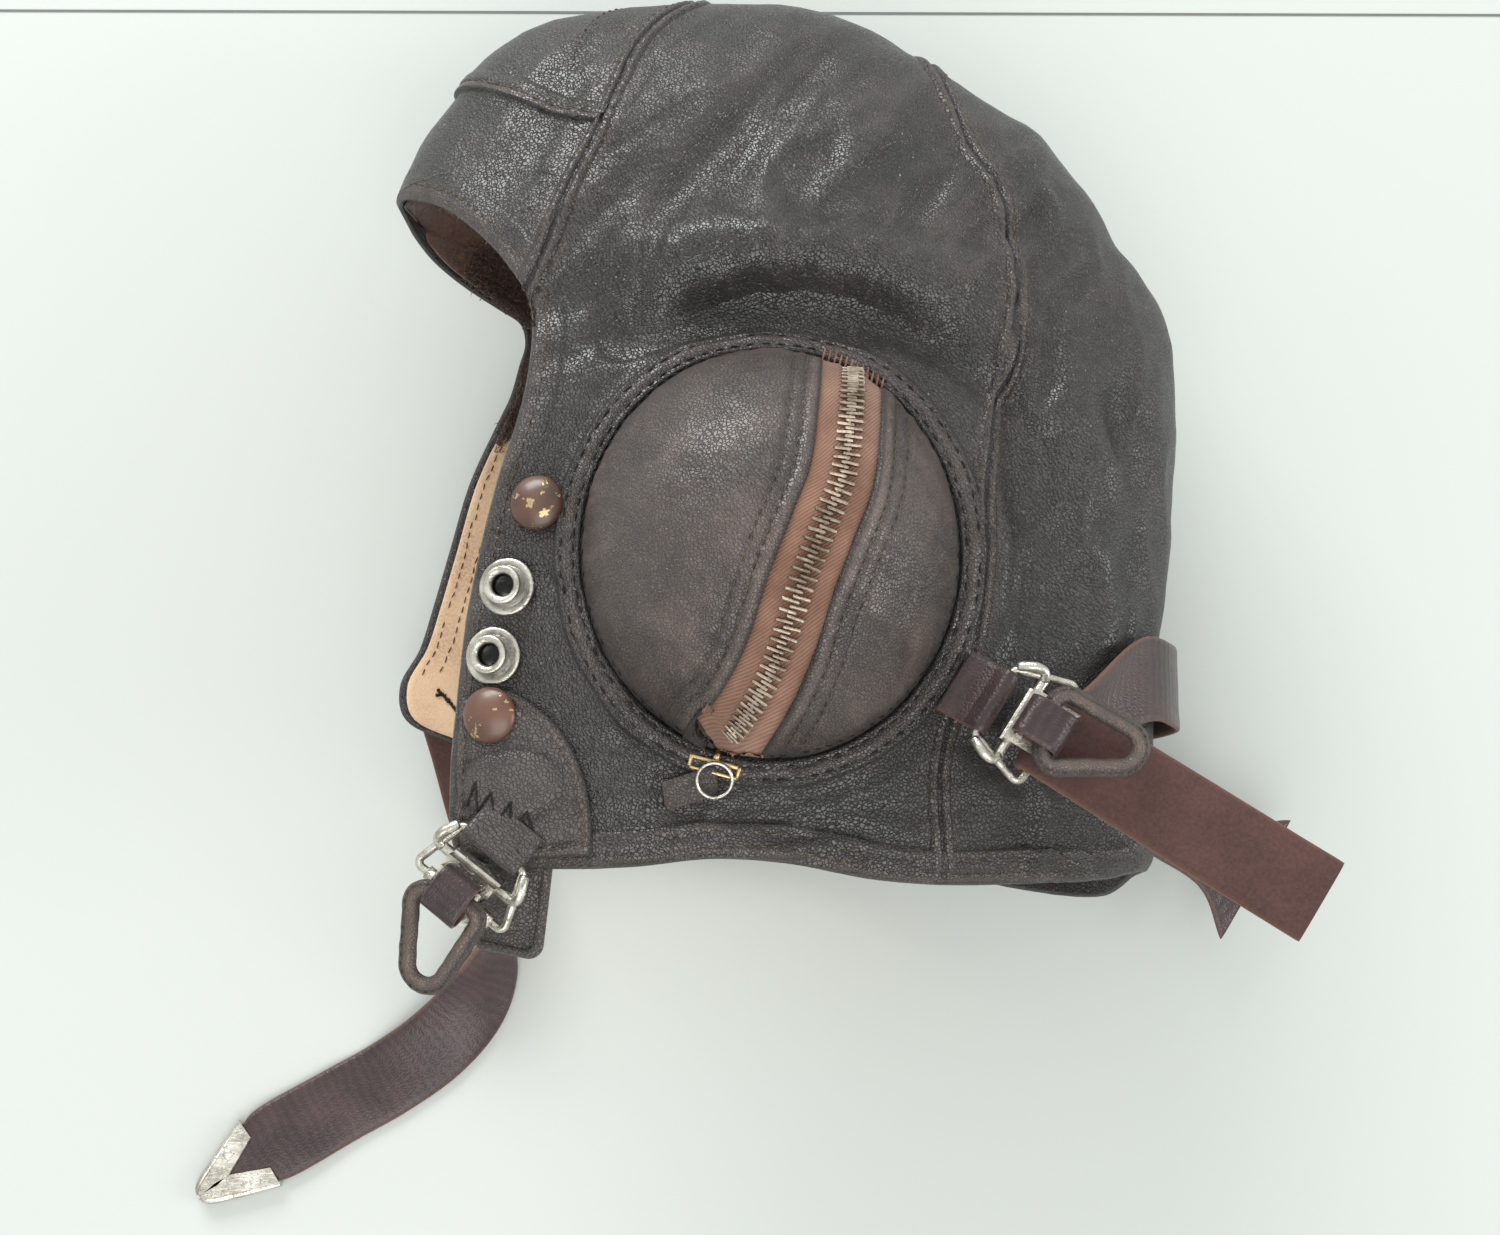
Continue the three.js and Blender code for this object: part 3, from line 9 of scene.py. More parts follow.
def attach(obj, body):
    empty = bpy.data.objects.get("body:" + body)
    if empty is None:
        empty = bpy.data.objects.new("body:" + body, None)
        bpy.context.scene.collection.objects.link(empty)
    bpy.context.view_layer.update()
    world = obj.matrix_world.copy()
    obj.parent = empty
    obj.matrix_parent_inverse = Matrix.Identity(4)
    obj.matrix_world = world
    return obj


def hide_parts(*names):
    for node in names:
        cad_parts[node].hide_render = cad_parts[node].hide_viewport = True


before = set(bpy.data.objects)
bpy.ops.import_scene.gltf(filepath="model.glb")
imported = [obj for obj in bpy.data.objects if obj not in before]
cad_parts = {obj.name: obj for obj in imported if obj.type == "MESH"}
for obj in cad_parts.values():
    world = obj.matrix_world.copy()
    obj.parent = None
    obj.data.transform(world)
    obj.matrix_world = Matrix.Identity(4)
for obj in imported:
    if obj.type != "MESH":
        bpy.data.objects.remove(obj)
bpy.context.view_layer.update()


# Camera. The photograph looks down at the helmet from ten degrees off straight above, on the
# hem's side, from about half a metre, with a phone's lens.
MM = 0.001
photo_width_px = 1500
focal_px = 1934
camera_tilt = math.radians(10)
camera_reach = 574 * MM
looked_at = Vector((1.03, 2.84, 0)) * MM
camera_data = bpy.data.cameras.new("camera")
camera_data.sensor_width = 36
camera_data.lens = camera_data.sensor_width * focal_px / photo_width_px
camera = bpy.data.objects.new("camera", camera_data)
camera.rotation_euler = (camera_tilt, 0, 0)
camera.location = looked_at + camera_reach * Vector((0, -math.sin(camera_tilt), math.cos(camera_tilt)))
bpy.context.collection.objects.link(camera)
bpy.context.scene.camera = camera


# Shader maths. A Field is one output of a node and takes part in sums, and a Finish is a material
# that is being mixed: its node() adds any node, with its settings, then its values or links.
class Field:
    def __init__(self, finish, output):
        self.finish = finish
        self.output = output

    def maths(self, operation, *values):
        return self.finish.node("ShaderNodeMath", {"operation": operation}, dict(enumerate(values)))

    def __add__(self, other):
        return self.maths("ADD", self, other)

    def __radd__(self, other):
        return self.maths("ADD", other, self)

    def __sub__(self, other):
        return self.maths("SUBTRACT", self, other)

    def __rsub__(self, other):
        return self.maths("SUBTRACT", other, self)

    def __mul__(self, other):
        return self.maths("MULTIPLY", self, other)

    def __rmul__(self, other):
        return self.maths("MULTIPLY", other, self)

    def between(self, low, high):
        """0 below low and 1 above high, with a soft step."""
        inputs = {"Value": self, "From Min": low, "From Max": high}
        settings = {"interpolation_type": "SMOOTHSTEP"}
        return self.finish.node("ShaderNodeMapRange", settings, inputs)

    def tint(self, low, high):
        """Colour low where the field is 0 and high where it is 1."""
        settings = {"data_type": "RGBA"}
        ends = [end if isinstance(end, Field) else (*end, 1) for end in (low, high)]
        return self.finish.node("ShaderNodeMix", settings, {0: self, 6: ends[0], 7: ends[1]}, 2)


class Finish:
    def __init__(self, name):
        self.material = bpy.data.materials.new(name)
        self.material.use_nodes = True
        self.tree = self.material.node_tree
        self.shader = self.tree.nodes["Principled BSDF"]
        self.place = self.node("ShaderNodeTexCoord", {}, {}, "Object")

    def node(self, kind, settings, inputs, output=0):
        node = self.tree.nodes.new(kind)
        for name, value in settings.items():
            setattr(node, name, value)
        for name, value in inputs.items():
            if isinstance(value, Field):
                self.tree.links.new(value.output, node.inputs[name])
            else:
                node.inputs[name].default_value = value
        return Field(self, node.outputs[output])

    def stretched(self, x, y, z):
        """Place scaled differently along each axis."""
        return self.node("ShaderNodeVectorMath", {"operation": "MULTIPLY"}, {0: self.place, 1: (x, y, z)})

    def cloud(self, scale, detail=3, roughness=0.5, distortion=0.0, place=None):
        inputs = {"Vector": place or self.place, "Scale": scale, "Detail": detail,
                  "Roughness": roughness, "Distortion": distortion}
        return self.node("ShaderNodeTexNoise", {}, inputs)

    def cells(self, scale, feature="DISTANCE_TO_EDGE", place=None):
        inputs = {"Vector": place or self.place, "Scale": scale}
        return self.node("ShaderNodeTexVoronoi", {"feature": feature}, inputs)

    def shifted(self, amount, scale):
        """Place pushed about by noise, so that no pattern looks ruled."""
        push = self.node("ShaderNodeTexNoise", {}, {"Vector": self.place, "Scale": scale}, "Color")
        push = self.node("ShaderNodeVectorMath", {"operation": "SUBTRACT"}, {0: push, 1: (0.5, 0.5, 0.5)})
        push = self.node("ShaderNodeVectorMath", {"operation": "SCALE"}, {0: push, "Scale": amount})
        return self.node("ShaderNodeVectorMath", {"operation": "ADD"}, {0: self.place, 1: push})

    def mark(self, name):
        """Value kept on the mesh's points."""
        return self.node("ShaderNodeAttribute", {"attribute_name": name}, {}, "Fac")

    def relief(self, height, depth, strength=1.0, under=None):
        inputs = {"Height": height, "Distance": depth, "Strength": strength}
        if under is not None:
            inputs["Normal"] = under
        return self.node("ShaderNodeBump", {}, inputs, "Normal")

    def finish(self, **sockets):
        names = {"colour": "Base Color", "roughness": "Roughness", "metal": "Metallic", "normal": "Normal",
                 "gloss": "Specular IOR Level", "coat": "Coat Weight", "coat_roughness": "Coat Roughness",
                 "sheen": "Sheen Weight", "sheen_roughness": "Sheen Roughness"}
        for name, value in sockets.items():
            socket = self.shader.inputs[names[name]]
            if isinstance(value, Field):
                self.tree.links.new(value.output, socket)
            else:
                socket.default_value = (*value, 1) if name == "colour" else value
        return self.material


# Surface and light. The helmet lies on a plain pale board in soft daylight: a window behind the
# crown on the left throws the sheen on the leather, a weaker one stands on the right, and the
# room fills the rest. The thin dark strip along the board's far edge is painted shadow.
board = bpy.data.meshes.new("board")
board_half = 3.0
board_corners = [(x * board_half, y * board_half, 0) for x, y in ((-1, -1), (1, -1), (1, 1), (-1, 1))]
board.from_pydata(board_corners, [], [(0, 1, 2, 3)])
board_object = bpy.data.objects.new("board", board)
bpy.context.collection.objects.link(board_object)
pale = Finish("pale_board")
board.materials.append(pale.finish(
    colour=pale.cloud(2.0).tint((0.487, 0.508, 0.484), (0.502, 0.523, 0.499)), roughness=0.6, gloss=0.2))

# Painted shadow: a thin dark strip laid on the board where its far edge falls into shade.
edge_strip = bpy.data.meshes.new("board_edge_shadow")
edge_y, edge_half, edge_level = 0.1972, 0.6, 0.0002
edge_corners = [(-edge_half, edge_y, edge_level), (edge_half, edge_y - 0.004, edge_level),
                (edge_half, edge_y - 0.0032, edge_level), (-edge_half, edge_y + 0.0008, edge_level)]
edge_strip.from_pydata(edge_corners, [], [(0, 1, 2, 3)])
edge_object = bpy.data.objects.new("board_edge_shadow", edge_strip)
bpy.context.collection.objects.link(edge_object)
shadow_gap = Finish("board_edge_shadow")
edge_strip.materials.append(shadow_gap.finish(colour=(0.13, 0.13, 0.125), roughness=0.7))

world = bpy.data.worlds.new("room")
bpy.context.scene.world = world
world.use_nodes = True
room = world.node_tree.nodes["Background"]
room.inputs["Color"].default_value = (0.96, 1.0, 0.985, 1)
room.inputs["Strength"].default_value = 0.94
bpy.context.scene.view_settings.view_transform = "Standard"


def window_light(name, direction, away, size, power, tone):
    data = bpy.data.lights.new(name, "AREA")
    data.shape = "RECTANGLE"
    data.size, data.size_y = size
    data.energy = power
    data.color = tone
    lamp = bpy.data.objects.new(name, data)
    lamp.location = Vector(direction).normalized() * away
    lamp.rotation_euler = Vector(direction).to_track_quat("Z", "Y").to_euler()
    bpy.context.collection.objects.link(lamp)


window_light("window", (-0.35, 0.8, 0.5), 1.7, (1.1, 0.65), 25, (1, 1, 1))
window_light("ceiling", (0.0, -0.75, 1.0), 2.0, (1.5, 1.5), 21, (1, 0.99, 0.97))
window_light("far_window", (0.9, -0.15, 0.42), 1.9, (0.6, 0.8), 12, (1, 1, 1))


# Leather shell. Brow, crown front, middle and back panels of brown-black glazed sheepskin, cut to
# the head's shape and sewn along lapped seams; the helmet lies on its right cheek, left ear up.
# Lengths are in millimetres round the ear axis until a mesh is made.
EAR_AXIS = np.array([6.028, 0.838, 0.0])
EAR_TO_CROWN = 162.0
LEFT_DEPTH = 44.0
RIGHT_DEPTH = 60.0
MIDDLE = 64.0
FOLD_RISE = 6.0
LEATHER = 1.8
POCKET = np.array([46.0, 50.8])
both = ("left", "right")
outline_columns = ("turn", "left", "right", "depth")
outline_rows = [
    (134, 0.903, 0.903, 1), (128, 0.952, 0.952, 1), (123, 0.984, 0.984, 1), (119, 1.019, 1.019, 1),
    (112, 1.042, 1.042, 1), (105, 1.027, 1.027, 1), (95, 1.008, 1.008, 1), (87, 1.001, 1.001, 1),
    (80, 0.974, 0.974, 1), (74, 0.937, 0.937, 1), (68, 0.915, 0.915, 1), (61, 0.904, 0.904, 1),
    (54, 0.865, 0.865, 1), (47, 0.836, 0.836, 1), (40, 0.811, 0.811, 1), (33, 0.79, 0.79, 0.98),
    (27, 0.753, 0.753, 0.96), (21, 0.718, 0.718, 0.93), (9, 0.666, 0.666, 0.84), (-10, 0.638, 0.638, 0.76),
    (-23, 0.668, 0.668, 0.73), (-38, 0.758, 0.758, 0.73), (-43, 0.728, 0.82, 0.74), (-55, 0.716, 0.87, 0.78),
    (-63, 0.719, 0.86, 0.84), (-80, 0.759, 0.86, 0.94), (-96, 0.802, 0.9, 1), (-120, 0.815, 0.93, 0.98),
    (-136, 0.813, 0.95, 0.94), (-150, 0.772, 0.95, 0.92), (-165, 0.735, 0.95, 0.9), (-177, 0.735, 0.95, 0.9),
    (-189, 0.796, 0.95, 0.92), (-204, 0.862, 0.95, 0.96), (-220, 0.889, 0.93, 1),
]
edge_columns = ("ring", "bend", "left_x", "left_y", "right_x", "right_y")
edge_rows = [
    (-46, 0, 0.512, -0.483, 0.556, -0.497), (-56, 0, 0.407, -0.488, 0.432, -0.485),
    (-66, 0, 0.296, -0.493, 0.296, -0.451), (-78, 0, 0.16, -0.486, 0.148, -0.424),
    (-90, 0, 0.028, -0.463, 0.012, -0.4), (-102, 0, -0.086, -0.456, -0.111, -0.381),
    (-114, 0, -0.21, -0.467, -0.247, -0.345), (-126, 0, -0.34, -0.469, -0.383, -0.3),
    (-136, 0, -0.457, -0.46, -0.543, -0.231), (-141, 0, -0.478, -0.432, -0.63, -0.191),
    (-148, 0, -0.483, -0.34, -0.642, -0.136), (-160, 0, -0.472, -0.216, -0.611, -0.068),
    (-172, 0, -0.458, -0.086, -0.59, 0.012), (-184, 0, -0.437, 0.019, -0.565, 0.117),
    (-196, 0, -0.411, 0.123, -0.534, 0.241), (-206, 0, -0.386, 0.21, -0.488, 0.352),
    (-213, 0, -0.372, 0.278, -0.463, 0.407), (-220, 0.04, -0.367, 0.346, -0.448, 0.457),
    (-227, 0.1, -0.377, 0.417, -0.438, 0.5), (-234, 0.17, -0.407, 0.469, -0.448, 0.537),
    (-241, 0.23, -0.454, 0.528, -0.488, 0.559), (-249, 0.29, -0.519, 0.59, -0.543, 0.586),
    (-257, 0.33, -0.574, 0.623, -0.593, 0.617),
]
BROW_TURN, NAPE_TURN, BROW_RING, BROW_BEND = 134, -38, 97, 0.34
# Folds: the side, the ends of the fold and its width in shares of EAR_TO_CROWN, and its height in
# shares of FOLD_RISE.
fold_rows = [
    ("left", -0.47, 0.38, -0.2, 0.43, 0.05, -0.25), ("left", -0.2, 0.39, 0.3, 0.36, 0.06, -0.9),
    ("left", -0.1, 0.5, 0.34, 0.43, 0.07, 0.75), ("left", 0.38, 0.29, 0.44, -0.04, 0.06, -0.6),
    ("left", 0.47, 0.2, 0.52, -0.1, 0.05, 0.3), ("left", 0.28, -0.32, 0.5, -0.3, 0.06, -0.4),
    ("left", -0.36, 0.55, -0.12, 0.84, 0.06, 0.4), ("left", -0.18, 0.58, 0.06, 0.82, 0.05, -0.35),
    ("left", 0.12, 0.6, 0.3, 0.86, 0.06, 0.3), ("left", -0.1, -0.4, 0.1, -0.4, 0.06, -0.3),
    ("right", -0.06, 0.56, 0.14, 0.56, 0.2, 1.25), ("both", 0.42, 0.84, 0.3, 0.7, 0.06, -0.25),
    ("both", 0.6, 0.6, 0.5, 0.45, 0.05, -0.3),
]
outline = {name: np.array([row[i] for row in outline_rows], float) for i, name in enumerate(outline_columns)}
edge = {name: np.array([row[i] for row in edge_rows], float) for i, name in enumerate(edge_columns)}


def outline_at(turn, column):
    """Smooth curve through a column of the outline table, all the way round."""
    steps = outline["turn"][0] - outline["turn"]
    places = np.concatenate([steps - 360, steps, steps + 360])
    values = np.tile(outline[column], 3)
    slopes = np.gradient(values)
    slopes[1:-1] = (values[2:] - values[:-2]) / (places[2:] - places[:-2])
    place = (outline["turn"][0] - turn) % 360
    i = np.searchsorted(places, place, side="right") - 1
    span = places[i + 1] - places[i]
    u = (place - places[i]) / span
    rise = u * u * (3 - 2 * u)
    bend = span * (slopes[i] * u * (1 - u) ** 2 - slopes[i + 1] * u * u * (1 - u))
    return values[i] + (values[i + 1] - values[i]) * rise + bend


def out_share(side, plan):
    """How far out plan points lie: 0 at the ear and 1 on the silhouette."""
    turn = np.degrees(np.arctan2(plan[:, 1], plan[:, 0]))
    return np.hypot(*plan.T) / (EAR_TO_CROWN * outline_at(turn, side))


def toward(turn):
    """Unit steps in plan toward turns given in radians."""
    return np.stack([np.cos(turn), np.sin(turn)], -1)


def noise_at(spots, level=None):
    """Soft noise from -1 to 1 at points, or at plan points on one level of it."""
    if level is not None:
        spots = np.column_stack([spots, np.full(len(spots), level)])
    return np.array([noise.noise(Vector(p)) for p in spots])


def soft_step(low, high, value):
    t = np.clip((value - low) / (high - low), 0, 1)
    return t * t * (3 - 2 * t)


def bump(away):
    return np.exp(-away * away)


def line_distance(x, y, line):
    """Signed distance of plan points from a line, positive on the left of its direction, and how
    far along it the nearest point lies."""
    starts, ends = line[:-1], line[1:]
    runs = ends - starts
    sizes = np.hypot(runs[:, 0], runs[:, 1])
    before = np.concatenate([[0], np.cumsum(sizes)[:-1]])
    best = np.full(x.shape, np.inf)
    sign = np.ones(x.shape)
    along = np.zeros(x.shape)
    for start, run, size, offset in zip(starts, runs, sizes, before):
        dx, dy = x - start[0], y - start[1]
        t = np.clip((dx * run[0] + dy * run[1]) / size**2, 0, 1)
        away = np.hypot(dx - t * run[0], dy - t * run[1])
        nearer = away < best
        best = np.where(nearer, away, best)
        sign = np.where(nearer, np.where(run[0] * dy - run[1] * dx >= 0, 1, -1), sign)
        along = np.where(nearer, offset + t * size, along)
    return best * sign, along


def surface(side, x, y):
    """Points of the smooth outer surface over plan points."""
    turn = np.degrees(np.arctan2(y, x))
    out = np.minimum(np.hypot(x, y) / (EAR_TO_CROWN * outline_at(turn, side)), 1)
    share = 1 + (outline_at(turn, "depth") - 1) * soft_step(0.3, 0.65, out)
    rise = np.zeros(x.shape)
    for row_side, from_x, from_y, to_x, to_y, wide, height in fold_rows:
        if row_side in ("both", side):
            ends = np.array([[from_x, from_y], [to_x, to_y]]) * EAR_TO_CROWN
            away, _ = line_distance(x, y, ends)
            fade = 1 if row_side == "both" else 1 - out**6
            rise = rise + fade * height * FOLD_RISE * bump(away / (wide * EAR_TO_CROWN))
    lean = out**1.5
    flat = np.sqrt(np.maximum(1 - lean * lean, 0))
    if side == "left":
        up = LEFT_DEPTH * np.sqrt(np.maximum(1 - out * out, 0))
    else:
        up = -RIGHT_DEPTH * share * np.maximum(1 - out**2.5, 0) ** (1 / 2.5)
        flat = -flat
    across = np.stack([np.cos(np.radians(turn)) * lean, np.sin(np.radians(turn)) * lean, flat], -1)
    return np.stack([x, y, MIDDLE + up], -1) + across * rise[..., None]


def smooth_line(points, count):
    """Centripetal curve through points, cut into count equal steps of its parameter."""
    points = np.asarray(points, float)
    ends = [2 * points[0] - points[1]], [2 * points[-1] - points[-2]]
    padded = np.concatenate([ends[0], points, ends[1]])
    place = np.linspace(0, len(points) - 1, count + 1)
    i = np.minimum(place.astype(int), len(points) - 2)
    t = (place - i)[:, None]
    p0, p1, p2, p3 = (padded[i + k] for k in range(4))
    spans = [np.maximum(np.linalg.norm(b - a, axis=1, keepdims=True), 1e-6) ** 0.5
             for a, b in ((p0, p1), (p1, p2), (p2, p3))]
    d0, d1, d2 = spans
    m1 = d1 * ((p1 - p0) / d0 - (p2 - p0) / (d0 + d1) + (p2 - p1) / d1)
    m2 = d1 * ((p2 - p1) / d1 - (p3 - p1) / (d1 + d2) + (p3 - p2) / d2)
    return ((2 * t**3 - 3 * t**2 + 1) * p1 + (t**3 - 2 * t**2 + t) * m1
            + (3 * t**2 - 2 * t**3) * p2 + (t**3 - t**2) * m2)


def shell_stations(closed_steps, open_steps):
    """Where each column of the shell's mesh starts on the ear opening and ends on the rim."""
    t = np.linspace(0, 1, closed_steps + 1)
    turn = BROW_TURN + (NAPE_TURN - BROW_TURN) * t
    rim = EAR_TO_CROWN * outline_at(turn, "left")[:, None] * toward(np.radians(turn))
    ring = BROW_RING + (NAPE_TURN - BROW_RING) * t
    bend = BROW_BEND * (1 - soft_step(0, 0.45, t))
    table = {}
    for side in both:
        spots = np.stack([edge[f"{side}_x"], edge[f"{side}_y"]], -1) * EAR_TO_CROWN
        rows = np.concatenate([[rim[-1]], spots, [rim[0]]])
        rings = np.concatenate([[ring[-1]], edge["ring"], [BROW_RING - 360]])
        curve = smooth_line(np.column_stack([rows, rings]), open_steps)
        table[side] = np.concatenate([rim, curve[1:-1, :2]])
        if side == "left":
            open_ring = curve[1:-1, 2]
    bends = np.concatenate([[0], edge["bend"], [BROW_BEND]])
    place = np.linspace(0, len(bends) - 1, open_steps + 1)[1:-1]
    open_bend = np.interp(place, np.arange(len(bends)), bends)
    return table, np.concatenate([ring, open_ring]), np.concatenate([bend, open_bend])


def shell_sheet(closed_steps, open_steps, rows, cap_rows, ring_gap, inset=0.0):
    """Both sides of the shell as one sheet of quads round the ear openings, or over them too
    where cap_rows names shares of the opening. The open edge is drawn in by inset, and by eight
    times as much under the nape, where the lining stops short of the hem."""
    rims, ring, bend = shell_stations(closed_steps, open_steps)
    count = len(ring)
    starts = toward(np.radians(ring)) * (POCKET + ring_gap)
    columns = len(cap_rows) + rows + 1
    points, plans, index = [], [], {}
    for side in both:
        rim = rims[side]
        full = np.arcsin(np.minimum(out_share(side, rim), 1))[:, None]
        along = (np.sin(np.linspace(0, 1, rows + 1)[None] * full) / np.sin(full))[..., None]
        run = rim - starts
        nape = soft_step(0, 26, rim[:, 0]) * soft_step(-30, -45, rim[:, 1])
        drawn = inset * (1 + 7 * nape) / np.linalg.norm(run, axis=1) * (np.arange(count) > closed_steps)
        along = along * (1 - drawn)[:, None, None]
        middle = (starts + rim) / 2 + np.stack([run[:, 1], -run[:, 0]], -1) * bend[:, None]
        a, b, c = (q[:, None, :] for q in (starts, middle, rim))
        plan = a * (1 - along) ** 2 + 2 * b * along * (1 - along) + c * along**2
        caps = starts[:, None, :] * np.array(cap_rows)[None, :, None]
        plan = np.concatenate([caps, plan], 1)
        index[side] = np.arange(count * columns).reshape(count, columns) + sum(len(p) for p in points)
        points.append(surface(side, plan[..., 0], plan[..., 1]).reshape(-1, 3))
        plans.append(plan.reshape(-1, 2))
    index["right"][: closed_steps + 1, -1] = index["left"][: closed_steps + 1, -1]
    faces = []
    for side in both:
        here, ahead = index[side], np.roll(index[side], -1, 0)
        quads = np.stack([here[:, :-1], ahead[:, :-1], ahead[:, 1:], here[:, 1:]], -1).reshape(-1, 4)
        faces.append(quads if side == "left" else quads[:, ::-1])
    return np.concatenate(points), np.concatenate(plans), index, np.concatenate(faces)


def sheet_normals(points, faces):
    a, b, c, d = (points[faces[:, k]] for k in range(4))
    across = np.cross(c - a, d - b)
    normals = np.zeros(points.shape)
    for k in range(4):
        np.add.at(normals, faces[:, k], across)
    return normals / np.maximum(np.linalg.norm(normals, axis=1, keepdims=True), 1e-9)


def scaled(shares):
    return np.array(shares) * EAR_TO_CROWN


front_seam = smooth_line(scaled([
    [-0.5, 0.31], [-0.43, 0.36], [-0.39, 0.411], [-0.368, 0.452], [-0.331, 0.536], [-0.301, 0.617],
    [-0.264, 0.704], [-0.241, 0.79], [-0.215, 0.875], [-0.175, 0.943], [-0.117, 1], [-0.09, 1.06]]), 120)
brow_seam = smooth_line(scaled([
    [-0.264, 0.704], [-0.314, 0.722], [-0.364, 0.746], [-0.425, 0.781], [-0.493, 0.819], [-0.6, 0.87]]), 60)
rear_seam = smooth_line(scaled([
    [0.25, 0.95], [0.268, 0.89], [0.301, 0.781], [0.333, 0.683], [0.367, 0.6], [0.377, 0.49], [0.38, 0.356],
    [0.375, 0.295], [0.357, 0.251], [0.335, 0.151], [0.327, 0.054], [0.325, -0.009], [0.313, -0.102],
    [0.292, -0.19], [0.267, -0.268], [0.254, -0.342], [0.254, -0.415], [0.26, -0.52]]), 160)
crown_dart = smooth_line([(-50.6, 133.7), (-49.2, 142), (-44.8, 153.6), (-37.7, 160.1)], 16)
cheek_dart = np.array([(-70.5, 5.2), (-60, 1.4), (-51.6, -4.3)])


RIM_STEPS, HEM_STEPS = 160, 600
hem_stations = shell_stations(RIM_STEPS, HEM_STEPS)[0]
hem_lines = {side: hem_stations[side][RIM_STEPS:] for side in both}
FOLD_PART, HEM_PART, CHEEK_PART, CHAMOIS_PART = slice(5, 262), slice(6, 270), slice(272, 590), slice(285, 560)


def seam_relief(away):
    """The low soft rise of leather doubled under a seam."""
    return 0.3 * bump(away / 5.0)


def hem_distance(x, y, side):
    line = hem_lines[side]
    return np.abs(line_distance(x, y, np.concatenate([line, line[-1:] + [[-2.0, 2.0]]]))[0])


def crumple(plans, heading, length, width, seed):
    """Long soft creases that run along heading, from -1 to 1."""
    turn = math.radians(heading)
    along = plans @ np.array([math.cos(turn), math.sin(turn)])
    across = plans @ np.array([-math.sin(turn), math.cos(turn)])
    value = noise_at(np.column_stack([along / length, across / width]), seed)
    return 1 - 2 * np.minimum(np.abs(value) * 3.2, 1)


# Creases of the left side, in millimetres: path in plan, half width and rise.
creases_by_hand = [
    ([(-38, 53), (-14, 62.5), (14, 65), (38, 57), (56, 42)], 4.2, -3.0),
    ([(-30, 70), (-4, 77), (26, 74), (49, 61), (61, 47)], 8.0, 3.4),
    ([(60, 46), (66, 30), (68, 8), (64, -14)], 4.5, -1.9), ([(78, 44), (80, 16), (76, -12)], 7.0, 1.1),
    ([(88, 40), (96, 10)], 5.0, -0.9), ([(-36, 60), (-58, 46), (-66, 30)], 5.0, -0.8),
    ([(-30, 96), (-12, 124)], 5.0, 0.8), ([(-22, 88), (4, 122), (12, 140)], 5.0, -1.0),
    ([(-2, 92), (20, 122)], 6.0, 0.7), ([(-60, 120), (-40, 148)], 5.0, -0.8),
    ([(-74, 112), (-56, 142)], 4.0, 0.5),
    ([(-46, -12), (-58, -5), (-70, -4)], 2.2, -1.2), ([(-44, -20), (-62, -15), (-72, -16)], 2.6, 1.0),
    ([(-40, -40), (-20, -56), (6, -60), (24, -54)], 4.5, 0.9), ([(44, -44), (60, -50), (74, -48)], 4.0, -1.0),
    ([(46, -52), (62, -60), (76, -58)], 4.0, 0.9), ([(-36, -48), (-18, -64), (4, -68)], 3.5, -0.6)]


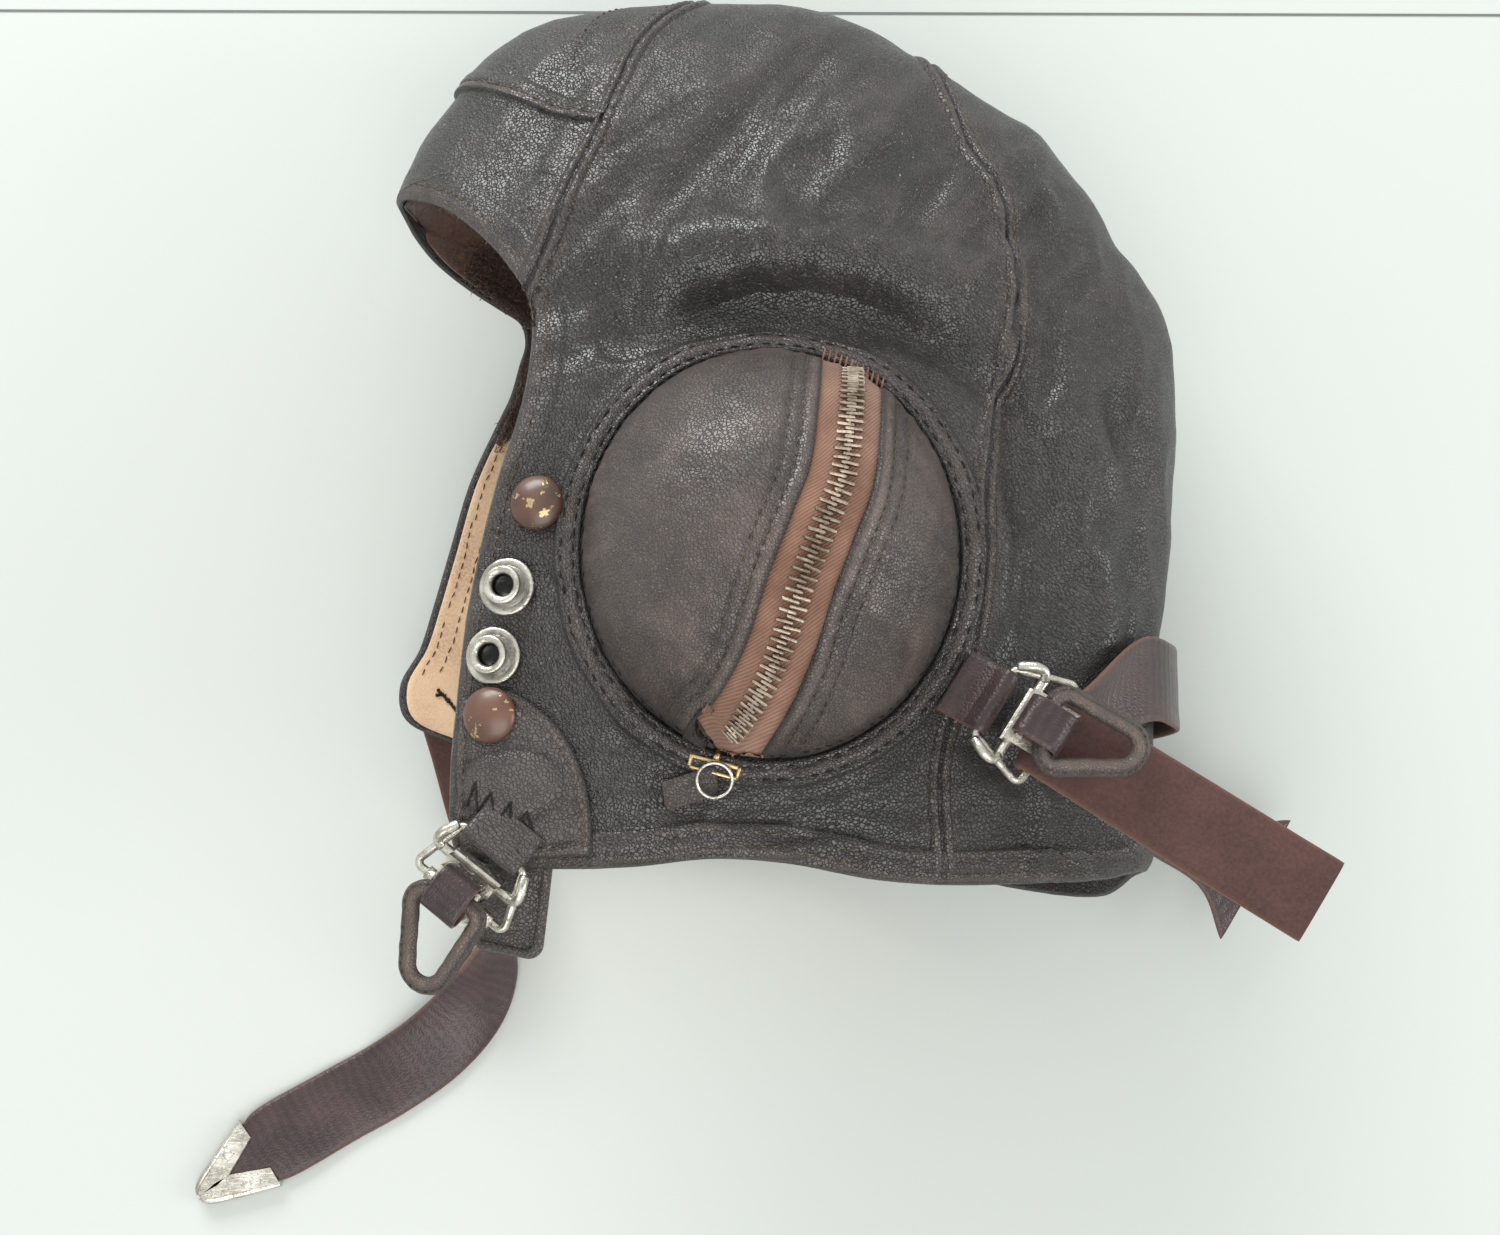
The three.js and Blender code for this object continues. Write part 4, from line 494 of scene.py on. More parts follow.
def shell_relief(side, plan):
    """Height of the leather over the smooth shell, how dark it is, with painted shade round the pocket and
    low on the back, and how worn it is.
    """
    x, y = plan[:, 0], plan[:, 1]
    height = np.zeros(len(plan))
    dark = np.zeros(len(plan))
    worn = np.zeros(len(plan))
    for line in (front_seam, rear_seam):
        away = line_distance(x, y, line)[0]
        height += seam_relief(away)
        dark = np.maximum(dark, bump(away / 0.9))
        worn = np.maximum(worn, 0.55 * bump((np.abs(away) - 3.0) / 1.3))
    away = line_distance(x, y, brow_seam)[0]
    lap = soft_step(-0.5, 0.5, -away) * np.exp(-np.maximum(-away, 0) / 14)
    height += 0.5 * lap
    dark = np.maximum(dark, bump((away - 0.6) / 0.7))
    worn = np.maximum(worn, 0.6 * bump((away + 2.5) / 2.2))
    if side == "left":
        for path, wide, rise in creases_by_hand:
            height += rise * bump(line_distance(x, y, smooth_line(path, 24))[0] / wide)
        away = line_distance(x, y, crown_dart)[0]
        height += seam_relief(away) * 0.7
        dark = np.maximum(dark, 0.9 * bump(away / 0.7))
        away = line_distance(x, y, cheek_dart)[0]
        height += seam_relief(away) * 0.6
        dark = np.maximum(dark, 0.7 * bump(away / 0.6))
    away = hem_distance(x, y, side)
    hem = soft_step(8.6, 7.2, away)
    height += 0.45 * hem - 0.5 * soft_step(1.2, 0, away)
    dark = np.maximum(dark, 0.45 * bump((away - 8.4) / 0.7))
    worn = np.maximum(worn, 0.55 * soft_step(7, 1, away))
    out = np.hypot(x / POCKET[0], y / POCKET[1])
    beyond = (out - 1) * POCKET.mean()
    wobble = 0.8 * noise_at(plan / 9, 3.1)
    height += 0.2 * bump((beyond - 3.4) / 3.5) - 0.4 * bump((beyond - 9.0 - wobble) / 2.5)
    # Painted shade: darker at the pocket's foot and in the groove outside its collar.
    dark = np.maximum(dark, 0.5 * bump((beyond - 6.6 - wobble) / 0.9))
    dark = np.maximum(dark, soft_step(1.3, 0.1, beyond))
    worn = np.maximum(worn, 0.6 * bump((beyond - 3.4 - wobble) / 2))
    calm = 1 - np.minimum(out_share(side, plan), 1)**8
    temple = soft_step(-95, -30, x) * soft_step(55, 80, y) * calm
    creases = crumple(plan, 52, 34, 9, 1.7)
    height += 0.75 * temple * creases
    back = soft_step(52, 62, x) * calm
    height += 1.15 * back * crumple(plan, 80, 30, 9, 5.3)
    low = soft_step(-45, -58, y) * calm
    height += 0.55 * low * crumple(plan, 8, 30, 8, 9.1)
    above = soft_step(52, 60, y) * soft_step(100, 78, y) * soft_step(-40, -10, x) * soft_step(75, 50, x)
    height += 0.35 * above * crumple(plan, 5, 26, 5, 12.4)
    height += 0.5 * calm * noise_at(plan / 17, 7.7)
    height += 0.3 * noise_at(plan / 6, 2.2)
    worn = np.maximum(worn, 0.35 * temple * soft_step(0.2, 1, creases))
    # Painted shade: darker behind the rear seam low down, and a little darker over the lowest band toward the
    # hem.
    behind = line_distance(x, y, rear_seam)[0]
    dark = np.maximum(dark, 0.34 * soft_step(0, 3, behind) * soft_step(30, -30, y))
    dark = np.maximum(dark, 0.2 * soft_step(-44, -56, y))
    if side == "right":
        rest = soft_step(8, 20, surface(side, x, y)[:, 2])
        height = height * (0.35 + 0.65 * rest)
    return height, np.clip(dark, 0, 1), np.clip(worn, 0, 1)


def piece(name, points, faces, finishes, nodes, body="helmet", smooth=True):
    """Mesh object from points in millimetres round the ear axis, which stands for CAD nodes."""
    mesh = bpy.data.meshes.new(name)
    mesh.from_pydata(((np.asarray(points) + EAR_AXIS) * MM).tolist(), [], [tuple(map(int, f)) for f in faces])
    mesh.validate()
    for finish in finishes:
        mesh.materials.append(finish)
    if smooth:
        mesh.shade_smooth()
    else:
        mesh.shade_flat()
    made = bpy.data.objects.new(name, mesh)
    bpy.context.collection.objects.link(made)
    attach(made, body)
    if nodes:
        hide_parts(*nodes)
    return made


def keep_marks(made, **marks):
    """Values kept on a mesh's points for its material: one for each point, or one for all."""
    for name, values in marks.items():
        layer = made.data.attributes.new(name, "FLOAT", "POINT")
        layer.data.foreach_set("value", np.full(len(made.data.vertices), values, np.float32))


def leather(name, deep, light, worn_tone, grain, grain_depth, gloss_low, gloss_high):
    """Grained leather: pebbles with fine creases between them, a mottled stain, and edges and
    welts rubbed paler where the mesh says that they are worn."""
    skin = Finish(name)
    place = skin.shifted(0.0022, 260)
    pebbles = skin.cells(grain, place=place).between(0.0, 0.16)
    wide = skin.cloud(34, 4, 0.6)
    fine = skin.cloud(1900, 2)
    streaks = skin.cloud(140, 5, 0.62, 0.4)
    stain = wide.between(0.3, 0.7)
    dark, worn = skin.mark("dark"), skin.mark("worn")
    base = (stain * 0.65 + streaks.between(0.35, 0.65) * 0.35).tint(deep, light)
    rubbed = (worn * (0.45 + 0.55 * streaks.between(0.4, 0.6))).tint(base, worn_tone)
    shaded = (0.55 * (1 - pebbles)).tint(rubbed, tuple(0.35 * c for c in deep))
    # The dark mark blackens seam lines and edges, and on the shell, the pocket collars, the pockets and the
    # chin patch it also holds painted shade.
    colour = (dark * 0.92).tint(shaded, (0.004, 0.003, 0.003))
    polish = gloss_low + (gloss_high - gloss_low) * wide.between(0.35, 0.65)
    rough = 0.12 * fine + polish + 0.1 * (1 - pebbles) + 0.25 * dark
    smoothness = 1 - 0.55 * worn
    height = pebbles * (0.75 + 0.5 * streaks) * smoothness + 0.12 * fine
    normal = skin.relief(height, grain_depth, 1.0, skin.relief(skin.cloud(260, 4, 0.6), 0.00045, 0.8))
    return skin.finish(colour=colour, roughness=rough, normal=normal, gloss=0.75)


def thick_sheet(outer, inner, faces, normals, roll=0.7):
    """Closed sheet from its two skins, with a rounded edge: points, faces, the sheet's point that
    each point came from, and whether it lies on the outer skin, the inner one or the edge."""
    used, faces = np.unique(faces, return_inverse=True)
    faces = faces.reshape(-1, 4)
    count = len(used)
    open_edges = {}
    for quad in faces.tolist():
        for a, b in zip(quad, quad[1:] + quad[:1]):
            if a != b and open_edges.pop((b, a), None) is None:
                open_edges[(a, b)] = True
    starts = sorted({a for a, _ in open_edges})
    place = {a: 2 * count + k for k, a in enumerate(starts)}
    away = {a: np.zeros(3) for a in starts}
    for a, b in open_edges:
        side = np.cross(outer[used[b]] - outer[used[a]], normals[used[a]])
        for end in (a, b):
            away[end] = away[end] + side / max(np.linalg.norm(side), 1e-9)
    edge_points = [(outer[used[a]] + inner[used[a]]) / 2
                   + away[a] / max(np.linalg.norm(away[a]), 1e-9) * roll for a in starts]
    quads = [tuple(q) for q in faces.tolist()] + [tuple(v + count for v in q[::-1]) for q in faces.tolist()]
    for a, b in open_edges:
        quads.append((b, a, place[a], place[b]))
        quads.append((place[b], place[a], a + count, b + count))
    points = np.concatenate([outer[used], inner[used], np.array(edge_points).reshape(-1, 3)])
    source = np.concatenate([used, used, used[starts]])
    layer = np.repeat([0, 1, 2], [count, count, len(starts)])
    return points, [tuple(dict.fromkeys(q)) for q in quads], source, layer


points, plans, index, faces = shell_sheet(closed_steps=165, open_steps=175, rows=64, cap_rows=[],
                                          ring_gap=0.35)
normals = sheet_normals(points, faces)
heights, darks_and_shade, worns = (np.zeros(len(points)) for _ in range(3))
for side in ("right", "left"):
    own = np.unique(index[side])
    heights[own], darks_and_shade[own], worns[own] = shell_relief(side, plans[own])
outer = points + normals * heights[:, None]
shell_points, shell_faces, source, layer = thick_sheet(outer, points - normals * LEATHER, faces, normals)
shell_leather = leather("shell_leather", (0.014, 0.0115, 0.011), (0.037, 0.029, 0.027), (0.085, 0.062, 0.05),
                        grain=1100, grain_depth=0.00033, gloss_low=0.25, gloss_high=0.37)
shell = piece("leather_shell", shell_points, shell_faces, [shell_leather],
              ["brow_panel", "crown_front_panel", "middle_panel", "back_panel"])
keep_marks(shell, dark=darks_and_shade[source] * (layer < 2),
           worn=np.where(layer == 2, 0.6, worns[source] * (layer == 0)))
shell_tree = BVHTree.FromPolygons(outer.tolist(), faces.tolist())


# Seams. Strips of the shell's leather laid on it make the turned welts, the lapped brow seam, the
# turned hem and the collar round each pocket. Waxed linen thread, olive to brown, runs in rows
# beside every seam and twice round the hem.
def on_shell(side, line):
    """A line given in plan laid on the leather, with the leather's normals."""
    spots, ups = [], []
    for point in surface(side, line[:, 0], line[:, 1]):
        place, normal, _, _ = shell_tree.find_nearest(Vector(point), 12)
        if place is not None:
            spots.append(place)
            ups.append(normal)
    return np.array(spots), np.array(ups)


def beside(line, away):
    """Line moved sideways in plan, to its left where away is positive."""
    run = np.gradient(line, axis=0)
    run /= np.linalg.norm(run, axis=1, keepdims=True)
    return line + np.stack([-run[:, 1], run[:, 0]], -1) * away


def run_lengths(line):
    """How far along a line each of its points lies."""
    return np.concatenate([[0], np.cumsum(np.linalg.norm(np.diff(line, axis=0), axis=1))])


def even(line, count):
    """Points at even steps along a line."""
    runs = run_lengths(line)
    steps = np.linspace(0, runs[-1], count)
    return np.stack([np.interp(steps, runs, line[:, k]) for k in range(line.shape[1])], -1)


def grid_faces(rows, columns, closed=False):
    """Quads over rows of points, round to the first row again where closed."""
    k = np.arange(rows * columns).reshape(rows, columns)
    ahead = np.roll(k, -1, 0) if closed else k[1:]
    here = k if closed else k[:-1]
    return np.stack([here[:, :-1], ahead[:, :-1], ahead[:, 1:], here[:, 1:]], -1).reshape(-1, 4)


class Stitches:
    """Stitches gathered into one mesh: each is a short arched length of thread."""
    def __init__(self):
        self.points = []
        self.faces = []

    def add(self, start, end, up, radius, arch=0.25, sink=0.16):
        steps, sides = (0.0, 0.16, 0.5, 0.84, 1.0), 6
        run = end - start
        ahead = run / max(np.linalg.norm(run), 1e-6)
        across = np.cross(ahead, up)
        across /= max(np.linalg.norm(across), 1e-6)
        first = len(self.points)
        for t in steps:
            height = arch * math.sin(math.pi * t) - sink * (1 - math.sin(math.pi * t))
            wide = radius * (0.55 + 0.45 * math.sin(math.pi * t))
            centre = start + run * t + up * height
            for k in range(sides):
                turn = 2 * math.pi * k / sides
                self.points.append(centre + (across * math.cos(turn) + up * math.sin(turn)) * wide)
        for i in range(len(steps) - 1):
            for k in range(sides):
                a, b = first + i * sides + k, first + i * sides + (k + 1) % sides
                self.faces.append((a, b, b + sides, a + sides))
        last = first + (len(steps) - 1) * sides
        self.faces.append(tuple(first + k for k in reversed(range(sides))))
        self.faces.append(tuple(last + k for k in range(sides)))

    def row(self, spots, ups, length, gap, radius, chance=1.0, slant=0.0, seed=1):
        """Stitches along a line of points on a surface."""
        pick = random.Random(seed)
        runs = run_lengths(spots)
        place = gap
        while place + length < runs[-1]:
            here = min(int(np.searchsorted(runs, place)), len(ups) - 1)
            if pick.random() < chance:
                start, end = (np.array([np.interp(s, runs, spots[:, k]) for k in range(3)])
                              for s in (place, place + length))
                aside = np.cross(end - start, ups[here])
                aside = aside / max(np.linalg.norm(aside), 1e-6) * slant
                self.add(start - aside, end + aside, ups[here], radius * pick.uniform(0.9, 1.1))
            place += (length + gap) * pick.uniform(0.96, 1.04)


def thread_finish(name, dark, light):
    thread = Finish(name)
    twist = thread.node("ShaderNodeTexWave", {"bands_direction": "DIAGONAL"},
                        {"Vector": thread.place, "Scale": 900, "Distortion": 2}, "Fac")
    tone = thread.cloud(300, 3).between(0.35, 0.65)
    return thread.finish(colour=(tone * 0.7 + twist * 0.3).tint(dark, light), roughness=0.75, gloss=0.3,
                         normal=thread.relief(twist, 0.0001))


seam_thread = thread_finish("seam_thread", (0.03, 0.022, 0.014), (0.13, 0.098, 0.058))
olive_thread = thread_finish("olive_thread", (0.045, 0.034, 0.019), (0.17, 0.13, 0.075))
black_thread = thread_finish("black_thread", (0.006, 0.005, 0.005), (0.022, 0.018, 0.016))


def sew(name, rows, finish, length=2.1, gap=0.75, radius=0.2, chance=1.0, lift=0.0):
    """Stitch rows from (side, plan line) pairs, as one piece, lift above the shell."""
    stitches = Stitches()
    for number, (side, line) in enumerate(rows):
        spots, ups = on_shell(side, line)
        if len(spots) > 2:
            stitches.row(spots + ups * lift, ups, length, gap, radius, chance, seed=number + 1)
    return piece(name, stitches.points, stitches.faces, [finish], [])


def trimmed(side, line, room=0.985):
    """The points of a plan line that lie inside a share of the silhouette."""
    return line[out_share(side, line) < room]


def band(name, base, height, dark, worn, closed=False):
    """A strip of the shell's leather laid on it: rows run along it, columns across it."""
    height, dark, worn = (np.broadcast_to(values, base.shape[:2]).reshape(-1)
                          for values in (height, dark, worn))
    found = [shell_tree.find_nearest(Vector(point), 12)[:2] for point in base.reshape(-1, 3)]
    spots, outward = (np.array(column) for column in zip(*found))
    faces = grid_faces(*base.shape[:2], closed)
    normals = sheet_normals(spots, faces)
    if (normals * outward).sum() < 0:
        faces = faces[:, ::-1]
        normals = -normals
    made = piece(name, spots + normals * height[:, None], faces, [shell_leather], [])
    keep_marks(made, dark=dark, worn=worn)


def over_crown(line, away, count):
    """A plan line moved sideways and laid down the left side and up the right one, as one run."""
    halves = []
    for side in both:
        moved = trimmed(side, beside(even(line, 1200), away), 0.9996)
        halves.append(surface(side, moved[:, 0], moved[:, 1]))
    return even(np.concatenate([halves[0], halves[1][::-1]]), count)


PUCKER_STEP, WELT_STEPS, LAP_STEPS = 2.85, 520, 420
across = np.linspace(-3.6, 3.6, 25)
for name, line in (("front_seam_welt", front_seam[14:]), ("rear_seam_welt", rear_seam[::-1][3:])):
    base = np.stack([over_crown(line, away, WELT_STEPS) for away in across], 1)
    run = np.linspace(0, 1, WELT_STEPS)[:, None] * run_lengths(base[:, 12])[-1]
    pucker = 1 + 0.16 * np.sin(run * 2 * math.pi / PUCKER_STEP)
    away = np.abs(across[None, :])
    height = 0.72 * bump((away - 1.35) / 1.15) * pucker + 0.16 - 0.62 * soft_step(2.4, 3.6, away)
    height = height - 0.6 * bump(away / 0.5)
    dark = np.maximum(bump(away / 0.55), 0.55 * bump((away - 3.1) / 0.6))
    band(name, base, height, dark, 0.55 * bump((away - 1.3) / 0.8) * pucker)
across = np.linspace(-1.6, 7.6, 29)
base = np.stack([over_crown(brow_seam, -away, LAP_STEPS) for away in across], 1)
away = across[None, :]
height = 1.25 * soft_step(-0.2, 0.5, away) * np.exp(-np.maximum(away, 0) / 5.5)
height = height - 0.35 * bump((away - 2.4) / 0.5)
height = height + 0.08 - 0.6 * soft_step(5.2, 7.6, away) - 0.5 * soft_step(-0.9, -1.6, away)
band("brow_seam_lap", base, height, bump((away + 0.35) / 0.55) + 0.35 * bump((away - 2.4) / 0.4),
     0.7 * bump((away - 0.9) / 0.9))
around = toward(np.radians(np.linspace(0, 360, 361))[:-1])
uneven = 0.5 * noise_at(around * 5, 3.1)[:, None]
across = np.linspace(-0.6, 9.4, 31)
for side in both:
    plan = around[:, None] * (POCKET + across[None, :, None])
    base = surface(side, plan[..., 0], plan[..., 1])
    away = across[None, :] - uneven
    small = noise_at(base.reshape(-1, 3) / 3.0).reshape(away.shape)
    height = 0.95 * soft_step(-0.2, 1.0, away) * soft_step(7.2, 5.9, away) * (1 + 0.25 * small) + 0.1
    height = height - 0.3 * bump((away - 1.9) / 0.5) - 0.3 * bump((away - 4.9) / 0.5)
    height = height - 0.55 * soft_step(8.0, 9.4, across)[None, :] + 0.25 * bump((away - 3.4) / 1.0)
    # Painted shade in the corner where the dome stands on the collar and in the groove at its outer edge.
    dark = np.maximum(bump((away + 0.1) / 0.6), 0.85 * bump((away - 7.0) / 0.5))
    band(f"{side}_pocket_collar", base, height, np.minimum(dark, 1), 0.6 * bump((away - 3.4) / 1.6),
         closed=True)
across = np.linspace(0.5, 9.2, 30)
for side in both:
    lines = [even(beside(hem_lines[side][FOLD_PART], -away), LAP_STEPS) for away in across]
    base = np.stack([surface(side, line[:, 0], line[:, 1]) for line in lines], 1)
    away = across[None, :] + 0.35 * np.sin(np.arange(LAP_STEPS) / 19)[:, None]
    height = 0.14 + 0.5 * soft_step(8.2, 7.3, away) - 0.5 * soft_step(8.5, 9.2, away)
    height = height - 0.5 * soft_step(1.7, 0.5, away)
    height = height - 0.2 * bump((away - 2.4) / 0.5) - 0.2 * bump((away - 5.6) / 0.5)
    band(f"{side}_hem_fold", base, height, 0.6 * bump((away - 8.3) / 0.5),
         0.5 * bump((away - 1.2) / 1.2) + 0.35 * bump((away - 6.9) / 0.6))

sew("panel_seam_stitches", [(side, trimmed(side, beside(line, away))) for side in both
                            for line in (front_seam[14:], rear_seam[:-4]) for away in (-2.1, 2.1)],
    seam_thread, lift=0.5)
sew("brow_seam_stitches", [(side, trimmed(side, beside(brow_seam, -2.4))) for side in both],
    olive_thread, radius=0.24, lift=0.55)
sew("hem_stitches", [(side, beside(hem_lines[side][HEM_PART], away)) for side in both
                     for away in (-2.4, -5.6)], olive_thread, radius=0.22, chance=0.93, lift=0.3)
corners = [(39.5, -28), (46.8, -28), (46.6, -40), (39.3, -40), (39.5, -28)]
sew("tab_box_stitches", [("left", even(np.array(ends, float), 12)) for ends in zip(corners, corners[1:])],
    olive_thread, length=1.7, gap=0.6)
sew("cheek_edge_stitches", [(side, beside(hem_lines[side][CHEEK_PART], -3.4)) for side in both], seam_thread)
sew("dart_stitches", [("left", smooth_line(cheek_dart, 40) + [0, 1.9]), ("left", beside(crown_dart, 1.8))],
    seam_thread)


# Linings. Sheared sheepskin pile under the brow, red-brown gone black with grease, and cream
# chamois in the cheeks, both glued inside the leather a few millimetres short of its edge.
lining_points, lining_plans, _, lining_faces = shell_sheet(
    closed_steps=120, open_steps=130, rows=34, cap_rows=[0, 0.25, 0.5, 0.75], ring_gap=1.0, inset=1.6)
lining_normals = sheet_normals(lining_points, lining_faces)
cell = lining_plans[lining_faces].mean(1)
is_brow = line_distance(cell[:, 0], cell[:, 1], front_seam)[0] > 0
BROW_CORNER = np.array([-101.6, 105.2])


def lining_piece(name, chosen, fluff, seed, finish, node):
    """Lining over the chosen cells, which thins toward the brow's corner; gives its inner skin."""
    rough = noise_at(lining_points / 3.3 + seed)
    lumps = noise_at(lining_points / 11 + seed)
    thick = soft_step(3, 20, np.hypot(*(lining_plans - BROW_CORNER).T))
    depth = 2.4 + thick * (1.6 + fluff * (0.6 + rough + 0.8 * lumps))
    inner = lining_points - lining_normals * depth[:, None]
    outer = lining_points - lining_normals * (2.05 + 0.65 * thick)[:, None]
    spots, quads, source, _ = thick_sheet(outer, inner, lining_faces[chosen], lining_normals, 0.4)
    made = piece(name, spots, quads, [finish], [node])
    keep_marks(made, dark=np.clip(0.5 - 1.2 * lumps[source], 0, 1))
    return inner


def suede(name, low, high, soil, nap, depth):
    hide = Finish(name)
    blotch = hide.cloud(38, 5, 0.65).between(0.3, 0.7)
    fibre = hide.cloud(nap, 4, 0.7)
    shade = (hide.mark("dark") * 0.6 * (0.5 + hide.cloud(90, 4, 0.6))).tint(blotch.tint(low, high), soil)
    return hide.finish(colour=(fibre.between(0.2, 0.75)).tint(shade, high), roughness=0.92, gloss=0.15,
                       sheen=0.3, sheen_roughness=0.5, normal=hide.relief(fibre, depth))


pile_finish = suede("brow_pile", (0.024, 0.011, 0.008), (0.12, 0.064, 0.046), (0.006, 0.004, 0.004),
                    700, 0.0009)
chamois_finish = suede("cheek_chamois", (0.5, 0.325, 0.2), (0.66, 0.47, 0.31), (0.26, 0.15, 0.09),
                       1500, 0.00025)
pile_inner = lining_piece("brow_pile_lining", is_brow, 0.8, 3.0, pile_finish, "brow_lining")
chamois_inner = lining_piece("cheek_chamois_lining", ~is_brow, 0.25, 8.0, chamois_finish,
                             "cheek_lining")
chamois_tree = BVHTree.FromPolygons(chamois_inner.tolist(), lining_faces[~is_brow].tolist())


def on_chamois(line):
    """A plan line laid on the inner face of the far cheek's chamois."""
    found = [chamois_tree.find_nearest(Vector(point), 20)[:2]
             for point in surface("right", line[:, 0], line[:, 1])]
    spots, ups = zip(*[hit for hit in found if hit[0] is not None])
    return np.array(spots), -np.array(ups)


brown_thread = thread_finish("brown_thread", (0.05, 0.024, 0.014), (0.16, 0.085, 0.05))
rows = Stitches()
for away, number in ((-3.4, 1), (-7.2, 2)):
    spots, ups = on_chamois(even(beside(hem_lines["right"][CHAMOIS_PART], away), 400))
    rows.row(spots, ups, length=2.3, gap=0.8, radius=0.2, chance=0.9, seed=number)
piece("chamois_stitches", rows.points, rows.faces, [brown_thread], [])
rows = Stitches()
knot_threads = (((-94.6, -22.6), (-91.4, -26.8)), ((-95.4, -24.8), (-92.2, -24.6)),
                ((-91.9, -25.6), (-87.8, -31.0)))
for ends in knot_threads:
    spots, ups = on_chamois(even(np.array(ends), 7))
    for k in range(len(spots) - 1):
        rows.add(spots[k], spots[k + 1], ups[k], 0.55, 0.3, -0.1)
piece("chamois_knot", rows.points, rows.faces, [black_thread], [])


def tufts(name, roots, ups, length, width, count, seed, finish):
    """Short tapering tufts of hair scattered over points with normals."""
    pick = np.random.default_rng(seed)
    chosen = pick.integers(0, len(roots), count)
    base = roots[chosen] + pick.normal(0, 0.9, (count, 3))
    lean = ups[chosen] + pick.normal(0, 0.55, (count, 3))
    lean /= np.linalg.norm(lean, axis=1, keepdims=True)
    tip = base + lean * (length * pick.uniform(0.6, 1.25, count))[:, None]
    first = np.cross(lean, pick.normal(0, 1, (count, 3)))
    first /= np.linalg.norm(first, axis=1, keepdims=True)
    second = np.cross(lean, first)
    foot = [base + (first * math.cos(a) + second * math.sin(a)) * width for a in (0, 2.1, 4.2)]
    spots = np.stack(foot + [tip], 1).reshape(-1, 3)
    k = np.arange(count)[:, None] * 4
    quads = np.concatenate([k + [0, 1, 3], k + [1, 2, 3], k + [2, 0, 3]])
    made = piece(name, spots, quads, [finish], [])
    keep_marks(made, dark=np.repeat(pick.uniform(0, 1, count), 4))


seen_roots = np.unique(lining_faces[is_brow & (cell[:, 0] < -38) & (out_share("left", cell) < 0.88)])
tufts("brow_pile_tufts", pile_inner[seen_roots], -lining_normals[seen_roots], length=2.1, width=0.22,
      count=16000, seed=5, finish=pile_finish)


# Ear pockets. A dome of two moulded halves, brown sheepskin polished by handling, whose turned
# edges are sewn twice beside the zip; the right pocket is the same and lies flat under the helmet.
POCKET_RISE = 34.0
PRESSED_FLAT = 0.72
POCKET_WALL = 1.6
TAPE_HALF = 8.0
SEWN_ROWS = (3.2, 6.4)
zip_line = smooth_line(np.array([
    [0.55, 1.35], [0.45, 0.953], [0.415, 0.665], [0.35, 0.204], [0.25, -0.04], [0.14, -0.3], [0.04, -0.57],
    [-0.06, -0.75], [-0.2, -0.91], [-0.29, -0.963], [-0.5, -1.25]]) * POCKET, 400)


def pocket_points(side, plan):
    """Plan points raised to the smooth dome of a pocket, or to the flat of the right one."""
    shares = plan / POCKET
    out = np.linalg.norm(shares, axis=-1)
    towards = shares / np.maximum(out, 1e-6)[..., None]
    edge_spots = towards * (POCKET + 1)
    rim = surface(side, edge_spots[..., 0], edge_spots[..., 1])[..., 2]
    if side == "left":
        middle = surface(side, np.zeros(1), np.zeros(1))[0, 2]
        level = middle + (rim - middle) * out**3 + POCKET_RISE * np.maximum(1 - out**2.2, 0) ** 0.62
    else:
        level = rim * soft_step(PRESSED_FLAT, 1.02, out)
    return np.concatenate([plan, level[..., None]], -1)


def within(line, reach):
    """The points of a plan line that lie inside a share of the pocket."""
    return line[np.linalg.norm(line / POCKET, axis=1) < reach]


def pocket_half(side, hand, rows, columns):
    """Front half for hand -1 and rear half for 1: rows from the top down, columns from the zip."""
    start = even(within(beside(zip_line, hand * (TAPE_HALF - 0.1)), 0.994), rows)
    turns = np.degrees(np.arctan2(*(start[[0, -1]] / POCKET).T[::-1]))
    first, last = turns[0], turns[1]
    if hand < 0:
        last = last % 360 + 9
    end = toward(np.radians(np.linspace(first, last, rows))) * POCKET * 0.9985
    share = (0.5 - 0.5 * np.cos(np.linspace(0, 1, columns) * math.pi))[None, :, None]
    plan = start[:, None] * (1 - share) + end[:, None] * share
    base = pocket_points(side, plan).reshape(-1, 3)
    faces = grid_faces(rows, columns)
    if (side == "left") != (hand > 0):
        faces = faces[:, ::-1]
    normals = sheet_normals(base, faces)
    flat = plan.reshape(-1, 2)
    away, run = line_distance(flat[:, 0], flat[:, 1], zip_line)
    away = np.abs(away) - TAPE_HALF
    out = np.linalg.norm(flat / POCKET, axis=1)
    pucker = noise_at(toward(np.arctan2(flat[:, 1], flat[:, 0])) * 15, 2.0)
    soft = noise_at(base / 15.0)
    small = noise_at(base / 5.0)
    height = 0.75 * bump((away - 1.3) / 1.5) * (1 - soft_step(0.9, 1, out))
    for row in SEWN_ROWS:
        height -= 0.32 * bump((away - row) / 0.7)
        height += 0.12 * bump((away - row - 1.5) / 0.8)
    gathers = soft_step(22, 4, away) * np.sin(run * 1.15 + 3 * small + 0.25 * away)
    height += 0.16 * gathers * soft_step(60, 75, run) + 0.7 * soft + 0.22 * small
    height += 0.55 * pucker * soft_step(0.8, 0.97, out)
    height *= 0.3 + 0.7 * soft_step(1.0, 0.97, out)
    outer = base + normals * height[:, None]
    # Painted shade darkens the dome's wall at its foot; the dark beside the tape and along the sewn rows
    # marks the leather's edge and the stitch lines.
    dark = np.maximum(soft_step(0.955, 1.0, out) * 0.85, 0.75 * soft_step(0.8, 0.0, away))
    for row in SEWN_ROWS:
        dark = np.maximum(dark, 0.4 * bump((away - row) / 0.55))
    worn = np.clip(bump((away - 1.3) / 1.3) * 0.55 + 0.5 * soft_step(0.0, 0.5, soft), 0, 1)
    return outer, base, normals, faces, dark, worn


